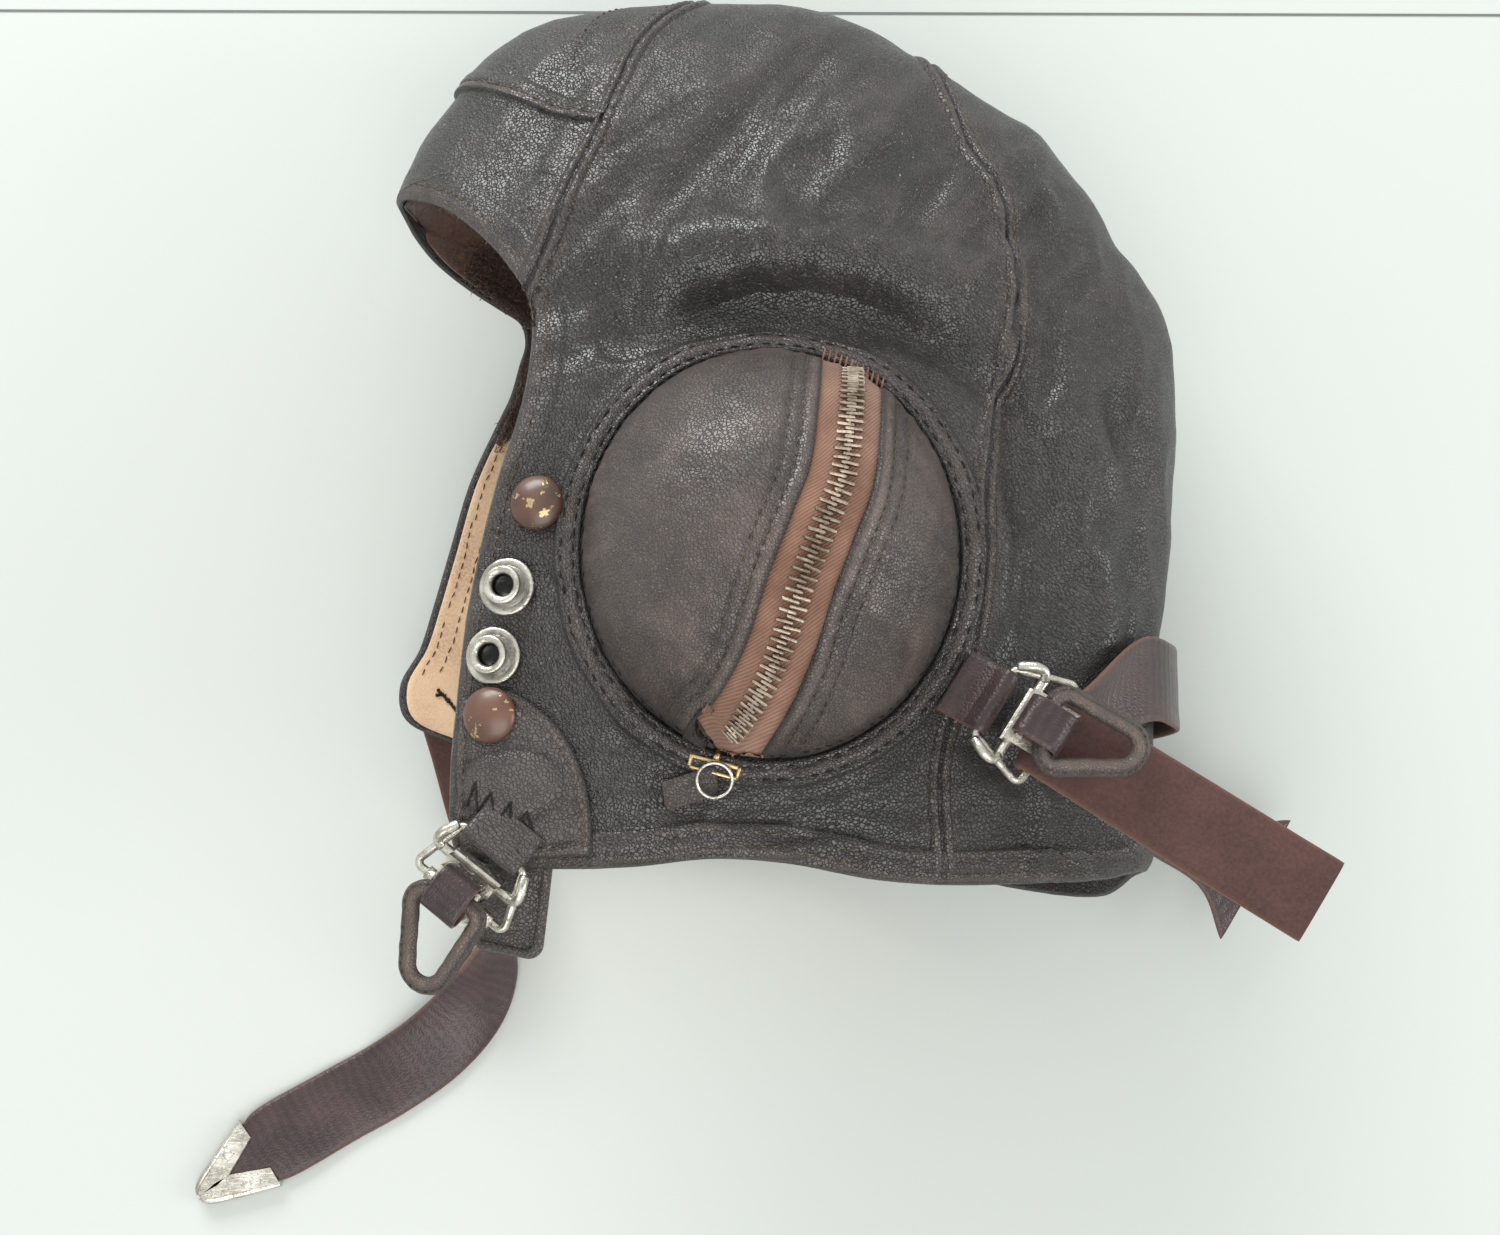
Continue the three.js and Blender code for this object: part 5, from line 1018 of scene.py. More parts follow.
pocket_leather = leather("pocket_leather", (0.031, 0.021, 0.018), (0.075, 0.053, 0.046), (0.13, 0.088, 0.075),
                         grain=1150, grain_depth=0.0002, gloss_low=0.27, gloss_high=0.42)
pocket_trees = {}
pocket_mesh = {"left": (150, 58), "right": (100, 40)}
for side in both:
    for hand, end in ((-1, "front"), (1, "rear")):
        outer, base, normals, faces, dark, worn = pocket_half(side, hand, *pocket_mesh[side])
        spots, quads, source, layer = thick_sheet(outer, base - normals * POCKET_WALL, faces, normals, 0.5)
        half = piece(f"{side}_pocket_leather_{end}", spots, quads, [pocket_leather],
                     [f"{side}_pocket_{end}"])
        keep_marks(half, dark=dark[source] * (layer < 2), worn=worn[source] * (layer == 0))
        pocket_trees[side, hand] = BVHTree.FromPolygons(outer.tolist(), faces.tolist())


def dropped(tree, line):
    """A plan line dropped from above on an outer skin, with the skin's normals."""
    found = [tree.ray_cast(Vector((x, y, 200)), Vector((0, 0, -1)))[:2] for x, y in line]
    found = [hit for hit in found if hit[0] is not None]
    return np.array([spot for spot, _ in found]), np.array([normal for _, normal in found])


zip_stitches = Stitches()
for hand in (-1, 1):
    for number, row in enumerate(SEWN_ROWS, 1):
        line = even(within(beside(zip_line, hand * (TAPE_HALF + row)), 0.97), 200)
        spots, ups = dropped(pocket_trees["left", hand], line)
        zip_stitches.row(spots, ups, length=2.0, gap=0.85, radius=0.17, seed=number, chance=0.94)
piece("zip_stitches", zip_stitches.points, zip_stitches.faces, [seam_thread], [])
rim_stitches = Stitches()
for hand, first, last in ((-1, 70, 245), (1, 40, -95)):
    line = toward(np.radians(np.linspace(first, last, 260))) * POCKET * 0.988
    spots, ups = dropped(pocket_trees["left", hand], line)
    rim_stitches.row(spots, ups, length=1.9, gap=1.1, radius=0.24, seed=hand + 7, slant=0.5, chance=0.9)
piece("pocket_rim_stitches", rim_stitches.points, rim_stitches.faces, [black_thread], [])
around = toward(np.radians(np.linspace(0, 360, 400)))
sew("pocket_ring_stitches", [("left", around * (POCKET + away)) for away in (1.9, 4.9)], black_thread,
    length=2.6, gap=1.3, chance=0.85, radius=0.28, lift=0.75)


# Zip. Terracotta twill tapes, teeth of dull brass that interlock, closed all the way down to a
# brass slider; the tape's top end is turned in and sewn over by hand.
def twill(name, dark, light):
    cloth = Finish(name)
    along, across = cloth.mark("along"), cloth.mark("across")
    ribs = along.maths("SINE", along * 5.2 + across * 7.0) * 0.5 + 0.5
    weave = along.maths("SINE", along * 19.0 - across * 11.0) * 0.5 + 0.5
    faded = cloth.cloud(75, 4, 0.6).between(0.25, 0.75)
    # Painted shade where the tape runs under the teeth and under the leather's edges.
    tape_shade = (cloth.mark("dark") * 0.8).tint(faded.tint(dark, light), (0.09, 0.045, 0.03))
    colour = ((1 - ribs) * 0.45).tint(tape_shade, tuple(0.4 * c for c in dark))
    return cloth.finish(colour=colour, roughness=0.85, gloss=0.2, sheen=0.15,
                        normal=cloth.relief(ribs * 0.8 + weave * 0.2, 0.00022))


twill_finish = twill("zip_twill", (0.2, 0.1, 0.066), (0.34, 0.185, 0.128))
for side in both:
    middle_line = even(within(zip_line, 1.0 if side == "left" else 0.93), 200)
    offsets = np.linspace(-8.9, 8.9, 41)
    plan = np.stack([beside(middle_line, a) for a in offsets], 1)
    shares = np.linalg.norm(plan / POCKET, axis=-1, keepdims=True)
    plan = plan / np.maximum(shares / 0.997, 1)
    base = pocket_points(side, plan)
    sheet_faces = grid_faces(200, 41)
    sheet_faces = sheet_faces if side == "left" else sheet_faces[:, ::-1]
    flat = base.reshape(-1, 3)
    normals = sheet_normals(flat, sheet_faces)
    across = np.tile(offsets, 200)
    tuck = soft_step(7.6, 8.4, np.abs(across))
    out = np.linalg.norm(plan / POCKET, axis=-1).reshape(-1)
    level = -0.55 - 1.75 * tuck + 0.3 * bump((np.abs(across) - 3.6) / 0.7)
    level = level + 0.12 * noise_at(flat / 4.0)
    level = level * np.where(out > 0.985, 0.7, 1.0)
    if side == "right":
        level -= 1.2
    level = level[:, None]
    spots, quads, source, layer = thick_sheet(flat + normals * level, flat + normals * (level - 0.9),
                                              sheet_faces, normals, 0.2)
    tape = piece(f"{side}_zip_twill", spots, quads, [twill_finish], [f"{side}_zip_tape"])
    along = np.repeat(np.linspace(0, 100, 200), 41)
    # Painted shade mask: dark where the tape tucks under the leather and down the middle under the teeth.
    tape_shade = np.clip(bump((np.abs(across) - 7.6) / 1.0) * 0.7 + bump(across / 4.2) * 0.6, 0, 1)
    keep_marks(tape, along=along[source], across=across[source], dark=tape_shade[source])


def turned(towards_x, up):
    """Rotation whose Z is up and whose X leans toward towards_x."""
    up = up / np.linalg.norm(up)
    y_axis = np.cross(up, towards_x)
    y_axis = y_axis / np.linalg.norm(y_axis)
    return np.stack([np.cross(y_axis, up), y_axis, up], -1)


class Build:
    """Points and faces gathered from placed parts into one mesh."""
    def __init__(self):
        self.points = np.zeros((0, 3))
        self.faces = []

    def add(self, points, faces, turn=np.eye(3), place=(0, 0, 0)):
        first = len(self.points)
        self.points = np.concatenate([self.points, np.asarray(points, float) @ np.asarray(turn).T + place])
        self.faces += [tuple(first + v for v in face) for face in faces]
        return self


def plate(outline, low, high, cut):
    """Plate over an outline given counterclockwise, with all its edges eased by cut."""
    outline = np.asarray(outline, float)
    run = np.roll(outline, -1, 0) - np.roll(outline, 1, 0)
    run /= np.maximum(np.linalg.norm(run, axis=1, keepdims=True), 1e-9)
    shrunk = outline + np.stack([-run[:, 1], run[:, 0]], -1) * cut
    levels = ((shrunk, low), (outline, low + cut), (outline, high - cut), (shrunk, high))
    spots = np.concatenate([np.column_stack([ring, np.full(len(ring), z)]) for ring, z in levels])
    n = len(outline)
    quads = [(r * n + k, r * n + (k + 1) % n, (r + 1) * n + (k + 1) % n, (r + 1) * n + k)
             for r in range(3) for k in range(n)]
    return spots, quads + [tuple(range(n))[::-1], tuple(3 * n + k for k in range(n))]


def rectangle(length, width, corner):
    a, b = length / 2, width / 2
    return [(a - corner, -b), (a, -b + corner), (a, b - corner), (a - corner, b),
            (-a + corner, b), (-a, b - corner), (-a, -b + corner), (-a + corner, -b)]


def metal(name, dull, bright, tarnish, rough_low, rough_high, pitted=0.0):
    """Worn plated metal: bright where it is rubbed, tarnished in its pits and patches, and painted with shade
    in hollows and corners where the mesh is marked dark.
    """
    plated = Finish(name)
    clouds = plated.cloud(160, 5, 0.65)
    pits = plated.cloud(1500, 3, 0.6).between(0.56, 0.68)
    scratches = plated.cloud(900, 2, 0.5, place=plated.stretched(0.25, 1.0, 2.2)).between(0.45, 0.6)
    tone = clouds.between(0.3, 0.7).tint(dull, bright)
    shade = (pits * pitted + clouds.between(0.62, 0.8) * 0.45).tint(tone, tarnish)
    colour = plated.mark("dark").tint(shade, (0.008, 0.007, 0.006))
    rough = rough_low + (rough_high - rough_low) * clouds + 0.2 * pits * pitted
    height = scratches * 0.15 + pits * -0.8 * pitted + clouds * 0.5
    return plated.finish(colour=colour, roughness=rough, metal=1.0 - 0.55 * plated.mark("dark"),
                         normal=plated.relief(height, 0.00018))


brass = metal("aged_brass", (0.19, 0.145, 0.11), (0.52, 0.43, 0.34), (0.04, 0.028, 0.02), 0.3, 0.55, 0.35)
slider_brass = metal("slider_brass", (0.42, 0.29, 0.13), (0.72, 0.55, 0.33), (0.13, 0.08, 0.04),
                     0.25, 0.5, 0.3)
nickel = metal("worn_nickel", (0.36, 0.33, 0.28), (0.72, 0.69, 0.62), (0.12, 0.1, 0.075), 0.2, 0.45, 0.5)
TOOTH_STEP = 1.2
for side in both:
    teeth = Build()
    chain = even(within(zip_line, 0.955 if side == "left" else 0.9), 900)
    rises = pocket_points(side, chain)
    lengths = run_lengths(rises)
    sink = -0.45 if side == "left" else -1.6
    body = plate(rectangle(4.2, 0.8, 0.22), 0.0, 1.3, 0.25)
    nose = plate(rectangle(1.1, 1.05, 0.3), 0.0, 1.0, 0.25)
    pick = random.Random(4)
    place, hand = TOOTH_STEP, 1
    while place < lengths[-1] - 1.4:
        i = int(np.searchsorted(lengths, place))
        ahead = rises[min(i + 3, len(rises) - 1)] - rises[max(i - 3, 0)]
        ahead /= np.linalg.norm(ahead)
        sideways = np.array([-ahead[1], ahead[0], 0])
        up = np.cross(ahead, sideways) * (1 if side == "left" else -1)
        rotation = turned(sideways + ahead * pick.uniform(-0.06, 0.06), up)
        teeth.add(*body, rotation, rises[i] + up * sink + sideways * hand * 1.15)
        teeth.add(*nose, rotation, rises[i] + up * sink - sideways * hand * 0.2)
        hand = -hand
        place += TOOTH_STEP
    made = piece(f"{side}_zip_chain", teeth.points, teeth.faces, [brass],
                 [f"{side}_zip_teeth"], smooth=False)
    keep_marks(made, dark=0)


def cad_points(*nodes):
    """Corners of CAD nodes, in millimetres round the ear axis."""
    return np.array([v.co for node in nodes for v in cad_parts[node].data.vertices]) / MM - EAR_AXIS


def flat_frame(spots, outward, long_way=None):
    """Middle and rotation of a flat part: Z is its thinnest way, on the side of outward, and X is
    its longest way or leans toward long_way."""
    middle = (spots.max(0) + spots.min(0)) / 2
    centred = spots - spots.mean(0)
    ways = np.linalg.svd(centred, full_matrices=False)[2]
    up = ways[2] * (1 if ways[2] @ outward > 0 else -1)
    rotation = turned(ways[0] if long_way is None else np.asarray(long_way, float), up)
    local = (spots - middle) @ rotation
    centre = middle + rotation @ ((local.max(0) + local.min(0)) / 2)
    return centre, rotation, local.max(0) - local.min(0)


def tube(path, radius, sides=12, closed=False, lip=0.0, flat_up=None):
    """Round bar along a path, with a lip on its outer side where one is asked for."""
    path = np.asarray(path, float)
    ahead = (np.roll(path, -1, 0) - np.roll(path, 1, 0)) if closed else np.gradient(path, axis=0)
    ahead /= np.maximum(np.linalg.norm(ahead, axis=1, keepdims=True), 1e-9)
    up = np.array([0.0, 0.0, 1.0]) if flat_up is None else np.asarray(flat_up, float)
    aside = np.cross(ahead, up)
    aside /= np.maximum(np.linalg.norm(aside, axis=1, keepdims=True), 1e-9)
    above = np.cross(aside, ahead)
    turn = 2 * math.pi * np.arange(sides) / sides
    angle = (turn + math.pi) % (2 * math.pi) - math.pi
    reach = radius + lip * np.exp(-(angle / 0.42) ** 2)
    spots = path[:, None] + (aside[:, None] * np.cos(turn)[None, :, None]
                             + above[:, None] * np.sin(turn)[None, :, None]) * reach[None, :, None]
    n = len(path)
    faces = []
    for i in range(n if closed else n - 1):
        for k in range(sides):
            a, b = i * sides + k, i * sides + (k + 1) % sides
            c, d = ((i + 1) % n) * sides + (k + 1) % sides, ((i + 1) % n) * sides + k
            faces.append((a, b, c, d))
    if not closed:
        faces += [tuple(range(sides))[::-1], tuple((n - 1) * sides + k for k in range(sides))]
    return spots.reshape(-1, 3), faces


def hull(circles, steps=10):
    """Loop round a row of circles given counterclockwise, joined by straight runs."""
    loop = []
    count = len(circles)
    for i, (x, y, r) in enumerate(circles):
        angles = []
        for one, two in ((circles[i - 1], circles[i]), (circles[i], circles[(i + 1) % count])):
            size = math.hypot(two[0] - one[0], two[1] - one[1])
            angles.append(math.atan2(two[1] - one[1], two[0] - one[0]) - math.acos((one[2] - two[2]) / size))
        while angles[1] < angles[0]:
            angles[1] += 2 * math.pi
        for k in range(steps + 1):
            a = angles[0] + (angles[1] - angles[0]) * k / steps
            loop.append((x + math.cos(a) * r, y + math.sin(a) * r))
    return np.array(loop)


def level_loop(loop, z=0.0):
    return np.column_stack([loop, np.full(len(loop), z)])


slider_shift = np.array([0.6, 3.0, 0.6])
place, rotation, _ = flat_frame(cad_points("left_zip_slider"), (0, 0, 1), (0.96, -0.28, 0))
place = place + rotation @ slider_shift
slider = Build()
upper_wing = hull([(-5.2, -1.6, 1.0), (5.2, -1.6, 1.0), (4.2, 2.2, 1.2), (0, 3.4, 1.0), (-4.2, 2.2, 1.2)], 4)
lower_wing = hull([(-5.2, -1.6, 1.0), (5.2, -1.6, 1.0), (3.6, 2.6, 1.0), (-3.6, 2.6, 1.0)], 4)
slider.add(*plate(upper_wing, 0.6, 1.9, 0.35), rotation, place)
slider.add(*plate(lower_wing, -1.9, -0.9, 0.3), rotation, place)
for x in (-5.9, 5.9):
    slider.add(*plate(rectangle(1.1, 4.6, 0.3), -1.3, 1.7, 0.3), rotation, place + rotation @ [x, -0.4, 0])
bridge = [(0, 2.4, 1.7), (0, 1.6, 3.0), (0, 0.0, 3.5), (0, -1.8, 3.1), (0, -2.8, 1.9)]
slider.add(*tube(bridge, 0.75, 10, flat_up=(1, 0, 0)), rotation, place)
made = piece("zip_slider_brass", slider.points, slider.faces, [slider_brass],
             ["left_zip_slider"])
keep_marks(made, dark=0)
ring_place, ring_turn, _ = flat_frame(cad_points("slider_ring"), (0, 0, 1))
pull_shift = np.array([3.0, 5.0, 0.6])
ring_place = ring_place + pull_shift
ring = Build()
angles = np.linspace(0, 4.1 * math.pi, 90)
coil = np.column_stack([np.cos(angles) * 4.2, np.sin(angles) * 4.2, np.linspace(-0.42, 0.42, 90)])
ring.add(*tube(coil, 0.42, 8), ring_turn, ring_place)
made = piece("slider_split_ring", ring.points, ring.faces, [nickel], ["slider_ring"])
keep_marks(made, dark=0)
tab_place, tab_turn, _ = flat_frame(cad_points("slider_tab"), (0, 0, 1), (0.93, 0.37, 0))
ragged = hull([(-5.5, -2.0, 1.9), (4.4, -2.2, 1.8), (6.0, 1.6, 1.6), (-5.0, 2.4, 1.3)], 7)
ragged += np.column_stack([noise_at(ragged, 1.0), noise_at(ragged, 6.0)]) * 0.8
tab = Build().add(*plate(ragged, -0.5, 0.5, 0.22), tab_turn, tab_place + pull_shift)
made = piece("slider_pull_leather", tab.points, tab.faces, [pocket_leather],
             ["slider_tab"])
keep_marks(made, dark=0.35, worn=0.3)
tape_end = []
for away in np.linspace(-7.5, 7.5, 9):
    line = beside(zip_line, away)
    line = line[line[:, 1] >= 0]
    tape_end.append(line[np.argmin(np.abs(np.linalg.norm(line / POCKET, axis=1) - 0.985))])
top_stitches = Stitches()
for spot in pocket_points("left", even(np.array(tape_end), 12)):
    top_stitches.add(spot + np.array([-0.4, -1.6, 0.6]), spot + np.array([0.5, 2.2, 0.2]),
                     np.array([0.1, 0.3, 0.95]), 0.3, 0.5, 0.1)
rust_thread = thread_finish("rust_thread", (0.12, 0.05, 0.03), (0.3, 0.14, 0.09))
piece("tape_end_stitches", top_stitches.points, top_stitches.faces, [rust_thread], [])


# Press fasteners. Brass caps in brown lacquer that is chipped back to the metal, and between
# them nickel sockets riveted through the leather, each a rolled flange round a hollow post.
def lathe(profile, steps=40):
    """Solid turned from a profile of (radius, height) rows."""
    turn = 2 * math.pi * np.arange(steps) / steps
    profile = np.asarray(profile, float)
    spots = np.stack([profile[:, None, 0] * np.cos(turn), profile[:, None, 0] * np.sin(turn),
                      np.repeat(profile[:, 1:2], steps, 1)], -1).reshape(-1, 3)
    faces = []
    for low in range(0, (len(profile) - 1) * steps, steps):
        for k in range(steps):
            ahead = (k + 1) % steps
            faces.append((low + k, low + ahead, low + steps + ahead, low + steps + k))
    last = (len(profile) - 1) * steps
    return spots, faces + [tuple(range(steps))[::-1], tuple(last + k for k in range(steps))]


def lacquer_finish():
    paint = Finish("chipped_lacquer")
    chips = (paint.cloud(330, 5, 0.6, 0.3) + paint.cloud(95, 2) * 0.5).between(0.865, 0.885)
    tone = paint.cloud(120, 4).between(0.3, 0.7).tint((0.05, 0.021, 0.013), (0.12, 0.05, 0.03))
    brassy = paint.cloud(700, 3).tint((0.36, 0.25, 0.13), (0.68, 0.52, 0.3))
    return paint.finish(colour=chips.tint(tone, brassy), metal=chips * 0.85,
                        roughness=0.3 + 0.2 * paint.cloud(400, 3), coat=(1 - chips) * 0.3,
                        coat_roughness=0.2, normal=paint.relief(1 - chips, 0.00016))


lacquer = lacquer_finish()
cap_profile = [(6.0, 0.0), (6.75, 0.25), (6.85, 0.65), (6.6, 1.15), (6.0, 1.75), (5.0, 2.35), (3.8, 2.85),
               (2.4, 3.2), (1.1, 3.37), (0.25, 3.4)]
stud_profile = [(6.3, 0.0), (6.95, 0.15), (7.15, 0.55), (7.0, 0.95), (6.5, 1.2), (5.9, 1.05), (5.35, 0.95),
                (4.95, 1.15), (4.55, 1.7), (4.3, 2.5), (4.3, 3.2), (4.65, 3.6), (4.8, 4.05), (4.6, 4.45),
                (4.1, 4.62), (3.5, 4.5), (2.95, 4.1), (2.7, 3.4), (2.65, 2.0), (2.3, 1.7), (0.3, 1.6)]
for side in both:
    outward = np.array([0, 0, 1.0 if side == "left" else -1.0])
    for kind, profile, finish, slot_name in (("snap_cap", cap_profile, lacquer, "lacquered_cap"),
                                             ("stud", stud_profile, nickel, "nickel")):
        turned_points, turned_faces = lathe(profile)
        out, up = np.hypot(*turned_points[:, :2].T), turned_points[:, 2]
        # Painted shade inside the hollow post, round the post's foot and on its wall.
        painted_shade = np.maximum(((out < 2.72) & (up < 3.6)) * 1.0, 0.75 * bump((out - 5.2) / 0.6) * (up < 1.3))
        painted_shade = np.maximum(painted_shade, 0.35 * bump((out - 4.3) / 0.3) * (up < 3.4))
        for height in ("upper", "lower"):
            node = f"{side}_{kind}_{height}"
            place, rotation, size = flat_frame(cad_points(node), outward)
            placed = Build().add(turned_points, turned_faces, rotation, place - rotation[:, 2] * size[2] / 2)
            made = piece(f"{node}_turned", placed.points, placed.faces, [finish], [node])
            keep_marks(made, dark=painted_shade if finish is nickel else 0)


# Chin patch. A second layer of softer brown leather sewn over the corner of the left cheek to
# carry the buckle, with an oval stiffener under it and a zigzag of thick black hand stitching.
def surface_normal(side, x, y):
    """Outward normals of the smooth shell over plan points."""
    step = 1.0
    along_x = surface(side, x + step, y) - surface(side, x - step, y)
    along_y = surface(side, x, y + step) - surface(side, x, y - step)
    normal = np.cross(along_x, along_y)
    return normal / np.linalg.norm(normal, axis=-1, keepdims=True) * (1 if side == "left" else -1)


patch_outline = scaled([
    [-0.466, -0.218], [-0.4, -0.208], [-0.382, -0.214], [-0.355, -0.231], [-0.322, -0.259], [-0.298, -0.293],
    [-0.282, -0.327], [-0.272, -0.362], [-0.267, -0.404], [-0.266, -0.45], [-0.36, -0.452], [-0.447, -0.446],
    [-0.466, -0.425], [-0.47, -0.34]])
patch_loop = even(np.concatenate([patch_outline[:1], smooth_line(patch_outline[:10], 90),
                                  smooth_line(patch_outline[9:], 40), patch_outline[:1]]), 201)[:-1][::-1]
patch_middle = np.array([-60.0, -55.0])


def patch_level(plan):
    """Height of the patch over the smooth shell, with its edge pressed down by its stitches, and
    how far each point is from that edge and from the middle of the oval stiffener."""
    x, y = plan[:, 0], plan[:, 1]
    away = np.abs(line_distance(x, y, np.concatenate([patch_loop, patch_loop[:1]]))[0])
    pad = np.hypot((x + 62.5) / 11.5, (y + 56.5) / 7.6)
    level = 1.75 + 0.35 * soft_step(0, 1.2, away) - 0.4 * bump((away - 2.5) / 0.8)
    level += 1.0 * soft_step(1.12, 0.86, pad) - 0.25 * bump((pad - 1.16) / 0.1)
    creases = crumple(plan, 20, 12, 3.2, 4.4) * soft_step(0.9, 1.2, pad)
    return level + 0.25 * creases + 0.35 * noise_at(plan / 7, 3.0), away, pad


PATCH_STEPS, PATCH_RINGS = 200, 43
rings = np.linspace(0, 1, PATCH_RINGS + 1)[1:] ** 0.8
patch_plan = (patch_middle + (patch_loop - patch_middle)[:, None] * rings[None, :, None]).reshape(-1, 2)
patch_faces = grid_faces(PATCH_STEPS, PATCH_RINGS, closed=True)[:, ::-1]
hub = np.full(PATCH_STEPS, len(patch_plan))
inner_ring = np.arange(PATCH_STEPS) * PATCH_RINGS
ahead = np.roll(inner_ring, -1)
patch_plan = np.concatenate([patch_plan, patch_middle[None]])
level, away, pad = patch_level(patch_plan)
patch_base = surface("left", patch_plan[:, 0], patch_plan[:, 1])
patch_up = surface_normal("left", patch_plan[:, 0], patch_plan[:, 1])
patch_top = patch_base + patch_up * level[:, None]
hub_faces = np.stack([hub, inner_ring, ahead, ahead], -1)
spots, quads, source, layer = thick_sheet(patch_top, patch_base + patch_up * 0.6,
                                          np.concatenate([patch_faces, hub_faces]), patch_up, 0.35)
patch_leather = leather("patch_leather", (0.03, 0.023, 0.021), (0.068, 0.053, 0.047), (0.12, 0.085, 0.072),
                        grain=1000, grain_depth=0.0003, gloss_low=0.34, gloss_high=0.5)
patch = piece("chin_patch_leather", spots, quads, [patch_leather], ["chin_patch"])
# Dark along the patch's cut edge, and painted shade in the groove round the stiffener.
keep_marks(patch, dark=(0.6 * soft_step(0.8, 0, away) + 0.4 * bump((pad - 1.16) / 0.1))[source],
           worn=(0.5 * soft_step(3, 0.8, away) * (away > 0.5))[source])
patch_tree = BVHTree.FromPolygons(patch_top.tolist(), patch_faces.tolist())
patch_row = Stitches()
patch_row.row(*dropped(patch_tree, patch_middle + (patch_loop - patch_middle) * 0.92),
              length=2.0, gap=0.8, radius=0.2, seed=3)
piece("patch_edge_stitches", patch_row.points, patch_row.faces, [seam_thread], [])
zigzag = [(-73.3, -61.0), (-71.2, -55.7), (-70.8, -62.7), (-67.3, -58.3), (-66.2, -65.5), (-62.4, -60.7),
          (-62.8, -67.7), (-58.5, -63.1), (-56.5, -69.6)]
mending = Stitches()
for ends in zip(zigzag, zigzag[1:]):
    spots, ups = dropped(patch_tree, even(np.array(ends), 9))
    for k in range(len(spots) - 1):
        mending.add(spots[k] - (spots[k + 1] - spots[k]) * 0.25, spots[k + 1], ups[k], 0.36, 0.22, -0.05)
piece("patch_hand_stitches", mending.points, mending.faces, [black_thread], [])


# Buckles. One at the chin and one each side of the nape, all alike: a bent nickel wire frame on a
# leather tab, a toothed cam plate that grips the strap, and a leather loop on the cam that holds
# a leather-covered D-ring to pull it open by.
RING_LEVEL, RING_REACH, EYE_REACH, RING_SKEW = 9.15, 13.5, 8.7, math.radians(17)
TAB_DEPTH, TAB_WALL, WIRE, TAB_HALF = 2.75, 1.2, 1.2, 8.0
BAR_BACK, ROLLER_BACK, TAB_LEATHER, CHIN_TAB_REACH = -7.5, -15.0, 1.15, 8.5


def strap_leather_finish(name, deep, light, flesh_deep, flesh_light):
    """Vegetable-tanned strap leather: glazed and cross-creased on the grain side, napped and
    redder on the flesh side, raw and pale along its cut edges."""
    hide = Finish(name)
    flesh, edge_mark, dark = hide.mark("flesh"), hide.mark("edge"), hide.mark("dark")
    wide = hide.cloud(60, 4, 0.6).between(0.3, 0.7)
    nap = hide.cloud(1100, 4, 0.7)
    pores = hide.cells(1500, "F1").between(0.0, 0.7)
    streak = hide.cloud(420, 4, 0.6)
    along = hide.mark("along")
    creases = along.maths("SINE", along * 2.4 + hide.cloud(120, 3) * 9) * 0.5 + 0.5
    grain = (wide * 0.7 + creases * 0.3).tint(deep, light)
    grain = (0.35 * (1 - pores)).tint(grain, tuple(0.3 * c for c in deep))
    velvet = (nap.between(0.3, 0.7) * 0.6 + wide * 0.4).tint(flesh_deep, flesh_light)
    colour = flesh.tint(grain, velvet)
    colour = (edge_mark * 0.75).tint(colour, (0.17, 0.085, 0.055))
    colour = (dark * 0.8).tint(colour, (0.008, 0.005, 0.005))
    rough = 0.3 + 0.14 * streak + flesh * 0.42 + edge_mark * 0.2
    height = (1 - flesh) * (creases * 0.22 + pores * 0.3) + flesh * nap * 0.8 + streak * 0.3
    return hide.finish(colour=colour, roughness=rough, gloss=0.45, sheen=0.05,
                       normal=hide.relief(height, 0.00022))


strap_leather = strap_leather_finish("strap_leather", (0.022, 0.012, 0.013), (0.062, 0.033, 0.033),
                                     (0.034, 0.013, 0.011), (0.08, 0.031, 0.025))
ring_leather = leather("ring_leather", (0.026, 0.018, 0.015), (0.07, 0.046, 0.036), (0.13, 0.08, 0.055),
                       grain=1500, grain_depth=0.00014, gloss_low=0.34, gloss_high=0.5)


def strip(path, half_width, rows):
    """Middle sheet of a leather strip along a path in the YZ plane, lying across X."""
    path = even(np.asarray(path, float), rows)
    run = np.gradient(path, axis=0)
    run /= np.linalg.norm(run, axis=1, keepdims=True)
    out = np.stack([run[:, 1], -run[:, 0]], -1)
    across = np.linspace(-half_width, half_width, 13)
    spots = np.array([[(x, *p) for x in across] for p in path]).reshape(-1, 3)
    normals = np.repeat(np.column_stack([np.zeros(rows), out]), 13, 0)
    return spots, normals, grid_faces(rows, 13)


def place_strip(name, path, half_width, rows, rotation, origin, nodes, body, finish):
    """Leather strip of TAB_LEATHER thickness along a path, turned and placed as a piece."""
    spots, normals, faces = strip(path, half_width, rows)
    normals = normals * np.sign(((spots - spots.mean(0)) * normals).sum())
    spots = spots + normals * noise_at(spots / 4 + origin)[:, None] * 0.18
    if (sheet_normals(spots, faces) * normals).sum() < 0:
        faces = faces[:, ::-1]
    half = normals * TAB_LEATHER / 2
    points, quads, _, layer = thick_sheet(spots + half, spots - half, faces, normals, 0.3)
    made = piece(name, points @ rotation.T + origin, quads, [finish], nodes, body)
    keep_marks(made, dark=0, worn=0, edge=(layer == 2) * 0.8, flesh=(layer == 1) * 0.6,
               along=points[:, 1] + points[:, 2])


def arc(middle_y, middle_z, radius, first, last, steps=14):
    turn = np.radians(np.linspace(first, last, steps))
    return [(middle_y + math.cos(t) * radius, middle_z + math.sin(t) * radius) for t in turn]


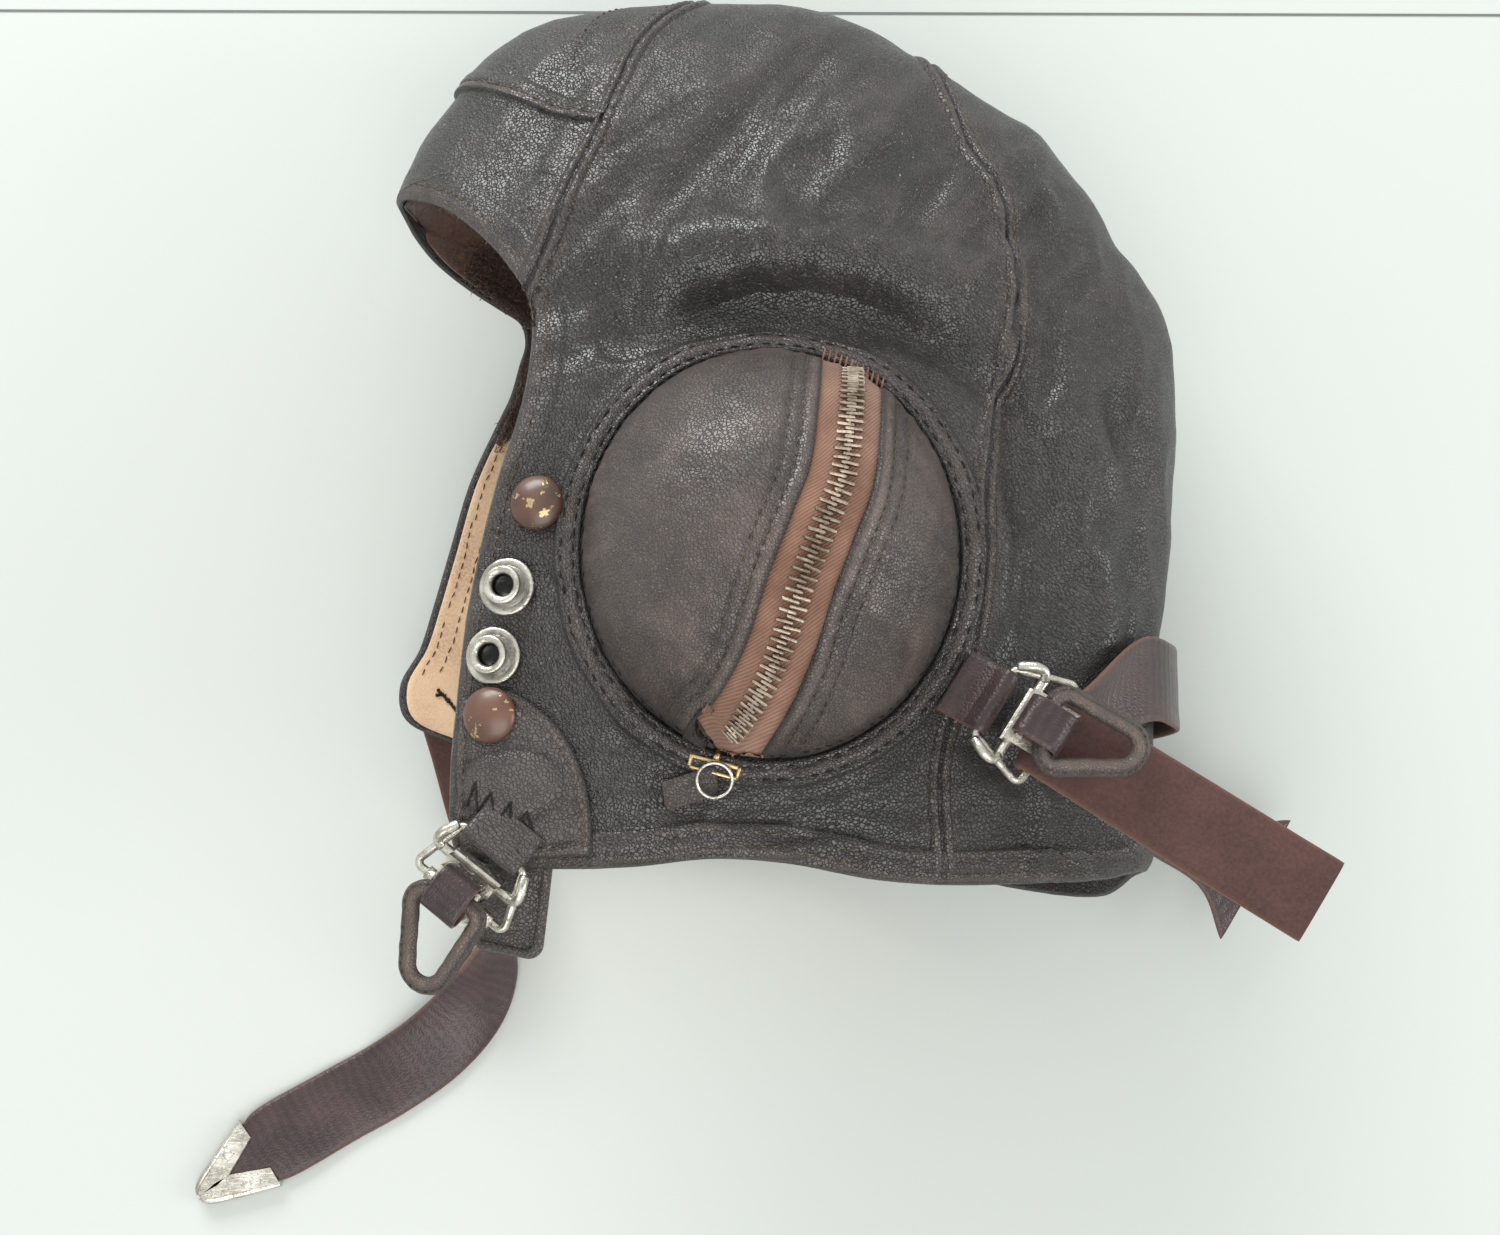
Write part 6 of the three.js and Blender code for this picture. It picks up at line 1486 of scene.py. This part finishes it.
def buckle(prefix, lever, lever_body, outward):
    """One buckle round its CAD nodes: gives where it stands and how it is turned."""
    centre, rotation, size = flat_frame(cad_points(f"{prefix}_frame"), outward)
    ring_middle = cad_points(f"{prefix}_ring").mean(0)
    if (ring_middle - centre) @ rotation[:, 1] > 0:
        rotation = rotation @ np.diag([-1.0, -1.0, 1.0])
    origin = centre + rotation @ [0, size[1] / 2 - WIRE, 0]
    near, far = TAB_HALF + 0.5 + WIRE, 10.5 + 1.6 + WIRE
    loop = hull([(near - 1.6, -1.6, 1.6), (-near + 1.6, -1.6, 1.6), (-far + 1.6, -15 + 1.6, 1.6),
                 (far - 1.6, -15 + 1.6, 1.6)], 8)
    loop = even(np.concatenate([loop, loop[:1]]), 141)[:-1]
    wires = Build()
    wires.add(*tube(level_loop(loop), 1.05, 14, closed=True), rotation, origin)
    pivot = (near + far) / 2
    bar = np.column_stack([np.linspace(-pivot, pivot, 15), np.full(15, BAR_BACK), np.zeros(15)])
    wires.add(*tube(bar, 1.36, 14), rotation, origin)
    for hand in (-1, 1):
        hook = smooth_line([(hand * (pivot - 1.0), BAR_BACK, 0.3), (hand * (pivot + 0.6), -6.6, 1.2),
                            (hand * (pivot + 0.7), -4.6, 2.0), (hand * (pivot - 0.2), -2.4, 1.6),
                            (hand * (pivot - 1.2), -0.6, 0.4)], 18)
        wires.add(*tube(hook, 1.25, 12), rotation, origin)
    roller = np.column_stack([np.linspace(-far + 3.4, far - 3.4, 9), np.full(9, ROLLER_BACK), np.zeros(9)])
    wires.add(*tube(roller, 1.75 if prefix == "chin" else 1.45, 18), rotation, origin)
    made = piece(f"{prefix}_wire_frame", wires.points, wires.faces, [nickel], [f"{prefix}_frame"])
    keep_marks(made, dark=0)
    tab_points = (cad_points(f"{prefix}_tab") - origin) @ rotation
    reach = tab_points[:, 1].max()
    drop = -TAB_DEPTH - tab_points[:, 2].min()
    if prefix == "chin":
        drop = drop * CHIN_TAB_REACH / reach + 1.6
        reach = CHIN_TAB_REACH
    wrap = TAB_DEPTH - TAB_WALL / 2 - 0.3
    lower = [(reach, -wrap - drop), (reach * 0.5, -wrap - drop * 0.5), (1.5, -wrap)]
    upper = [(reach, -wrap + TAB_WALL - drop), (reach * 0.55, -wrap + TAB_WALL - drop * 0.5), (3.4, -0.6)]
    path = lower + arc(0, 0, wrap, -90, -270 - 50)[1:] + upper[::-1]
    place_strip(f"{prefix}_tab_leather", np.array(path), TAB_HALF, 90, rotation, origin,
                [f"{prefix}_tab"], "helmet", patch_leather if prefix == "chin" else strap_leather)
    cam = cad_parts[f"{prefix}_{lever}"]
    cam.data.materials.clear()
    cam.data.materials.append(nickel)
    eased = cam.modifiers.new("eased", "BEVEL")
    eased.width = 0.28 * MM
    eased.segments = 3
    eased.limit_method = "ANGLE"
    eased.angle_limit = math.radians(35)
    inner = 1.8 + 0.35 + 0.6
    first, last = -EYE_REACH + 0.8 + 0.35 - 2.15, -RING_REACH - math.sin(RING_SKEW) * 4.8 - 0.35
    path = arc(first, RING_LEVEL, inner, -90, 90) + arc(last, RING_LEVEL, inner, 90, 270)
    place_strip(f"{prefix}_loop_leather", np.array(path + path[:1]), 4.8, 80, rotation, origin,
                [f"{prefix}_loop"], lever_body, strap_leather)
    loop = hull([(5, -3.2, 3.2), (-5, -3.2, 3.2), (0, -16.8, 4.6)], 12)
    loop = even(np.concatenate([loop, loop[:1]]), 181)[:-1]
    cosine, sine = math.cos(RING_SKEW), math.sin(RING_SKEW)
    turn = rotation @ np.array([[cosine, -sine, 0], [sine, cosine, 0], [0, 0, 1]])
    middle = origin + rotation @ [0, -RING_REACH, RING_LEVEL]
    spots, faces = tube(level_loop(loop), 1.72, 20, closed=True, lip=1.0)
    wobble = spots + (spots - np.repeat(level_loop(loop), 20, 0)) * 0.1 * noise_at(spots / 2.4)[:, None]
    rung = Build().add(wobble, faces, turn, middle)
    made = piece(f"{prefix}_ring_leather", rung.points, rung.faces, [ring_leather],
                 [f"{prefix}_ring"], lever_body)
    angle = 2 * math.pi * (np.arange(len(spots)) % 20) / 20
    crease = bump((np.minimum(angle, 2 * math.pi - angle) - 0.62) / 0.16)
    keep_marks(made, dark=0.55 * crease, worn=np.clip(bump((angle - 1.6) / 0.8), 0, 1) * 0.8)
    rows = Stitches()
    outer_loop = even(hull([(5, -3.2, 5.2), (-5, -3.2, 5.2), (0, -16.8, 6.6)], 12), 200)
    for height in (0.75, -0.75):
        ups = np.tile(turn[:, 2] * np.sign(height), (200, 1))
        rows.row(level_loop(outer_loop, height) @ turn.T + middle, ups, length=1.3, gap=0.8, radius=0.16,
                 seed=2)
    piece(f"{prefix}_ring_stitches", rows.points, rows.faces, [seam_thread], [], lever_body)
    return origin, rotation


buckle("chin", "lever", "lever", (0, 0, 1))
hangs = {side: buckle(f"{side}_nape", "cam", "helmet", outward)
         for side, outward in (("left", (0, 0, 1)), ("right", (0, 0, -1)))}

guard_place, guard_turn, _ = flat_frame(cad_points("guard_tab"), (0, 0, 1), (0.99, -0.13, 0))
guard_outline = hull([(8.48, -21.0, 4.0), (10.98, -2.0, 1.5), (-10.02, -2.0, 1.5), (-10.02, -13.75, 1.5),
                      (-2.88, -22.5, 2.5)], 8)
guard_outline = guard_outline - (guard_outline.max(0) + guard_outline.min(0)) / 2
guard = Build()
guard.add(*plate(guard_outline, -0.6, 0.6, 0.35), guard_turn, guard_place)
rim_line = even(np.concatenate([guard_outline, guard_outline[:1]]) * 0.89, 161)[:-1]
guard.add(*tube(level_loop(rim_line, 0.35), 1.15, 12, closed=True), guard_turn, guard_place)
made = piece("guard_tab_leather", guard.points, guard.faces, [patch_leather], ["guard_tab"])
keep_marks(made, dark=0, worn=0.3)


# Straps. Purple-brown strap leather 21 mm wide: the chin strap comes from under the right cheek
# flesh side up and rolls over before its pointed, metal-bound end; one more goes round the nape
# through both buckles, with its flesh side up on the near tail.
STRAP_WIDTH, STRAP_WALL = 21.0, 2.0


def strap(name, centres, acrosses, widths, steps, nodes, grain_up, seed):
    """Strap through rows of middle points, directions across and widths."""
    rows = smooth_line(np.column_stack([centres, acrosses, widths]), steps * 4)
    rows = rows[np.linspace(0, len(rows) - 1, steps).astype(int)]
    middle_line, across, width = rows[:, :3], rows[:, 3:6], rows[:, 6]
    across /= np.linalg.norm(across, axis=1, keepdims=True)
    shares = np.linspace(-0.5, 0.5, 25)
    offsets = (shares[None, :] * width[:, None])[..., None]
    spots = (middle_line[:, None] + across[:, None] * offsets).reshape(-1, 3)
    faces = grid_faces(steps, 25)
    normals = sheet_normals(spots, faces)
    ahead = np.gradient(middle_line, axis=0)
    wanted = np.repeat(np.cross(across, ahead), 25, 0)
    if (wanted * normals).sum() < 0:
        faces, normals = faces[:, ::-1], -normals
    along = np.repeat(run_lengths(middle_line), 25)
    cross = np.tile(shares, steps)
    ripple = noise_at(np.column_stack([along / 2.2, cross * 1.6]), seed)
    wave = noise_at(np.column_stack([along / 14, cross * 1.3]), seed + 5)
    crown = 0.35 * (1 - (2 * np.abs(cross)) ** 4)
    swell = (0.05 * ripple + 0.4 * wave + crown - 0.2)[:, None]
    half = STRAP_WALL / 2 * (1 - 0.35 * soft_step(0.44, 0.5, np.abs(cross)))[:, None]
    outer, inner = spots + normals * (swell + half), spots + normals * (swell - half)
    points, quads, source, layer = thick_sheet(outer, inner, faces, normals, 0.25)
    made = piece(name, points, quads, [strap_leather], nodes)
    rim = soft_step(0.47, 0.5, np.abs(cross))[source]
    keep_marks(made, flesh=layer == (1 if grain_up else 0), edge=np.where(layer == 2, 1.0, 0.5 * rim),
               dark=0, along=along[source])


# Chin strap: x and y in shares of EAR_TO_CROWN, how far up it is toward the flap, and its roll.
chin_rows = [
    (-0.552, -0.172, 1, 180), (-0.533, -0.235, 0.8, 180), (-0.512, -0.32, 0.5, 172), (-0.49, -0.41, 0, 150),
    (-0.473, -0.49, 0, 115), (-0.468, -0.56, 0, 80), (-0.482, -0.625, 0, 52), (-0.52, -0.69, 0, 28),
    (-0.585, -0.755, 0, 10), (-0.665, -0.81, 0, 0), (-0.75, -0.857, 0, 0), (-0.86, -0.92, 0, 0)]
tip = np.array([-0.985, -1.009, 0]) * EAR_TO_CROWN
TIP_LENGTH, TIP_WALL, TIP_NOSE = 20.6, 0.5, 2.4
chin_line = np.array([(x * EAR_TO_CROWN, y * EAR_TO_CROWN, 0) for x, y, _, _ in chin_rows])
tip_ahead = (tip - chin_line[-1]) / np.linalg.norm(tip - chin_line[-1])
lying = STRAP_WALL / 2 + 0.25
tip_rest = lying + TIP_WALL + 0.35
centres, acrosses, widths = [], [], []
last = len(chin_rows) - 1
for i, (_, _, level, roll) in enumerate(chin_rows):
    ahead = chin_line[min(i + 1, last)] - chin_line[max(i - 1, 0)]
    ahead = tip_ahead if i == last else ahead / np.linalg.norm(ahead)
    lean = math.radians(roll)
    across = np.array([ahead[1], -ahead[0], 0]) * math.cos(lean) + np.array([0, 0, math.sin(lean)])
    flap = [surface("right", *(chin_line[i] + across * STRAP_WIDTH / 2 * hand)[:2, None])[0, 2]
            for hand in (-1, 0, 1)]
    under = min(flap) - 0.7 - STRAP_WALL / 2
    base = tip_rest if i == last else lying
    stand = base + abs(math.sin(lean)) * STRAP_WIDTH / 2
    centres.append([*chin_line[i][:2], max(base + (under - base) * level, stand)])
    acrosses.append(across)
    widths.append(STRAP_WIDTH)
side_on = np.array([tip_ahead[1], -tip_ahead[0], 0])
for back in (TIP_LENGTH, TIP_LENGTH * 0.7, TIP_LENGTH * 0.4, TIP_NOSE):
    centres.append([*(tip - tip_ahead * back)[:2], tip_rest])
    acrosses.append(side_on)
    half = TIP_NOSE + (STRAP_WIDTH / 2 - TIP_NOSE) * (back - TIP_NOSE) / (TIP_LENGTH - TIP_NOSE)
    widths.append(2 * (half - 1.2))
strap("chin_strap_leather", centres, acrosses, widths, 190, ["chin_strap"], True, 2.0)

tip_up = np.array([0, 0, 1.0])
tip_turn = np.stack([-tip_ahead, np.cross(tip_up, -tip_ahead), tip_up], -1)
tip_seat = np.array([*tip[:2], tip_rest])
binding = Build()
half = STRAP_WIDTH / 2
for hand in (-1, 1):
    leg = [(0.4, 0), (1.2, hand * 1.9), (TIP_LENGTH, hand * (half - 0.1)),
           (TIP_LENGTH + 0.3, hand * (half - 5.4)), (10.4, hand * 0.05), (6.0, -hand * 0.6)]
    leg = leg if hand < 0 else leg[::-1]
    for low in (-STRAP_WALL / 2 - 0.75, STRAP_WALL / 2 + 0.2):
        binding.add(*plate(leg, low, low + 0.55, 0.18), tip_turn, tip_seat)
    fold = smooth_line([(0.5, hand * 0.4, 0), (1.3, hand * 2.2, 0), (10, hand * 6.2, 0),
                        (TIP_LENGTH, hand * (half - 0.3), 0)], 16)
    spots, faces = tube(fold, 1.0, 12)
    spots[:, 2] *= STRAP_WALL / 2 + 0.72
    binding.add(spots, faces, tip_turn, tip_seat)
    binding.add(*lathe([(1.35, 0), (1.3, 0.2), (0.9, 0.42), (0.2, 0.5)], 18), tip_turn,
                tip + tip_turn @ [13.0, hand * 5.0, 0] + tip_up * (tip_rest + STRAP_WALL / 2 + 0.65))
made = piece("strap_tip_binding", binding.points, binding.faces, [nickel], ["strap_tip"],
             smooth=False)
keep_marks(made, dark=0)

nape_spots = {"left": (0.3, 73.0), "right": (-0.3, 84.0)}
# Round the nape: the side, the share of the way out to the silhouette, and the share of NAPE_LIFT.
nape_rows = [("left", 0.9, 1), ("left", 0.97, 1), ("left", 1, 1), ("right", 0.97, 1), ("right", 0.9, 1),
             ("right", 0.82, 0.9), ("right", 0.74, 0.8)]
RING_LENGTH, FRAME_REACH, NAPE_LIFT, FLARE_WIDTH, FLARE_LENGTH = 25.0, 15.0, 4.2, 39.0, 13.0
tail_ahead = np.array([math.cos(math.radians(-32.5)), math.sin(math.radians(-32.5)), 0])


def tail_rows(side):
    """Free end of the nape strap from its tip to the far bar of the buckle and round it."""
    origin, rotation = hangs[side]
    end, length = nape_spots[side]
    length -= RING_LENGTH
    across = rotation[:, 0] * (1 if side == "left" else -1)
    fold = WIRE + 0.35 + STRAP_WALL / 2
    start = origin + rotation @ [0, -FRAME_REACH - RING_LENGTH, fold]
    level = np.array([-tail_ahead[1], tail_ahead[0], 0]) * np.sign(across[1])
    rows = []
    for share in (1, 0.66, 0.33) if side == "left" else (1, 1 - FLARE_LENGTH / length, 0.5):
        centre = start + tail_ahead * share * length
        centre[2] = start[2] + (MIDDLE + end * EAR_TO_CROWN - start[2]) * share**1.5
        lean = min(1, share * 1.5)
        wide = FLARE_WIDTH if side == "right" and share == 1 else STRAP_WIDTH
        rows.append((centre, across * (1 - lean) + level * lean, wide))
    rows.append((start, across, STRAP_WIDTH))
    rows.append((origin + rotation @ [0, -FRAME_REACH - RING_LENGTH / 2, fold], across, STRAP_WIDTH))
    for angle in (90, 45, 0, -45, -90):
        y, z = math.cos(math.radians(angle)) * fold, math.sin(math.radians(angle)) * fold
        rows.append((origin + rotation @ [0, y - FRAME_REACH, z], across, STRAP_WIDTH))
    return rows


nape_y = -0.179 * EAR_TO_CROWN
at_nape = EAR_TO_CROWN * outline_at(math.degrees(math.atan2(nape_y, EAR_TO_CROWN * 0.62)), "left")
out_x = math.sqrt(at_nape**2 - nape_y**2)
around = []
for side, out, lift in nape_rows:
    spot = surface(side, np.array([out_x * out]), np.array([nape_y]))[0]
    normal = surface_normal(side, np.array([out_x * min(out, 0.97)]), np.array([nape_y]))[0] * [1, 0, 1]
    normal = np.array([1.0, 0, 0]) if out == 1 else normal / np.linalg.norm(normal)
    around.append((spot + normal * (NAPE_LIFT * lift + STRAP_WALL / 2), np.array([0, 1.0, 0]), STRAP_WIDTH))
rows = tail_rows("left") + around + tail_rows("right")[::-1]
centres, acrosses, widths = (np.array(column) for column in zip(*rows))
strap("nape_strap_leather", centres, acrosses, widths, 330, ["nape_strap"], False, 6.0)
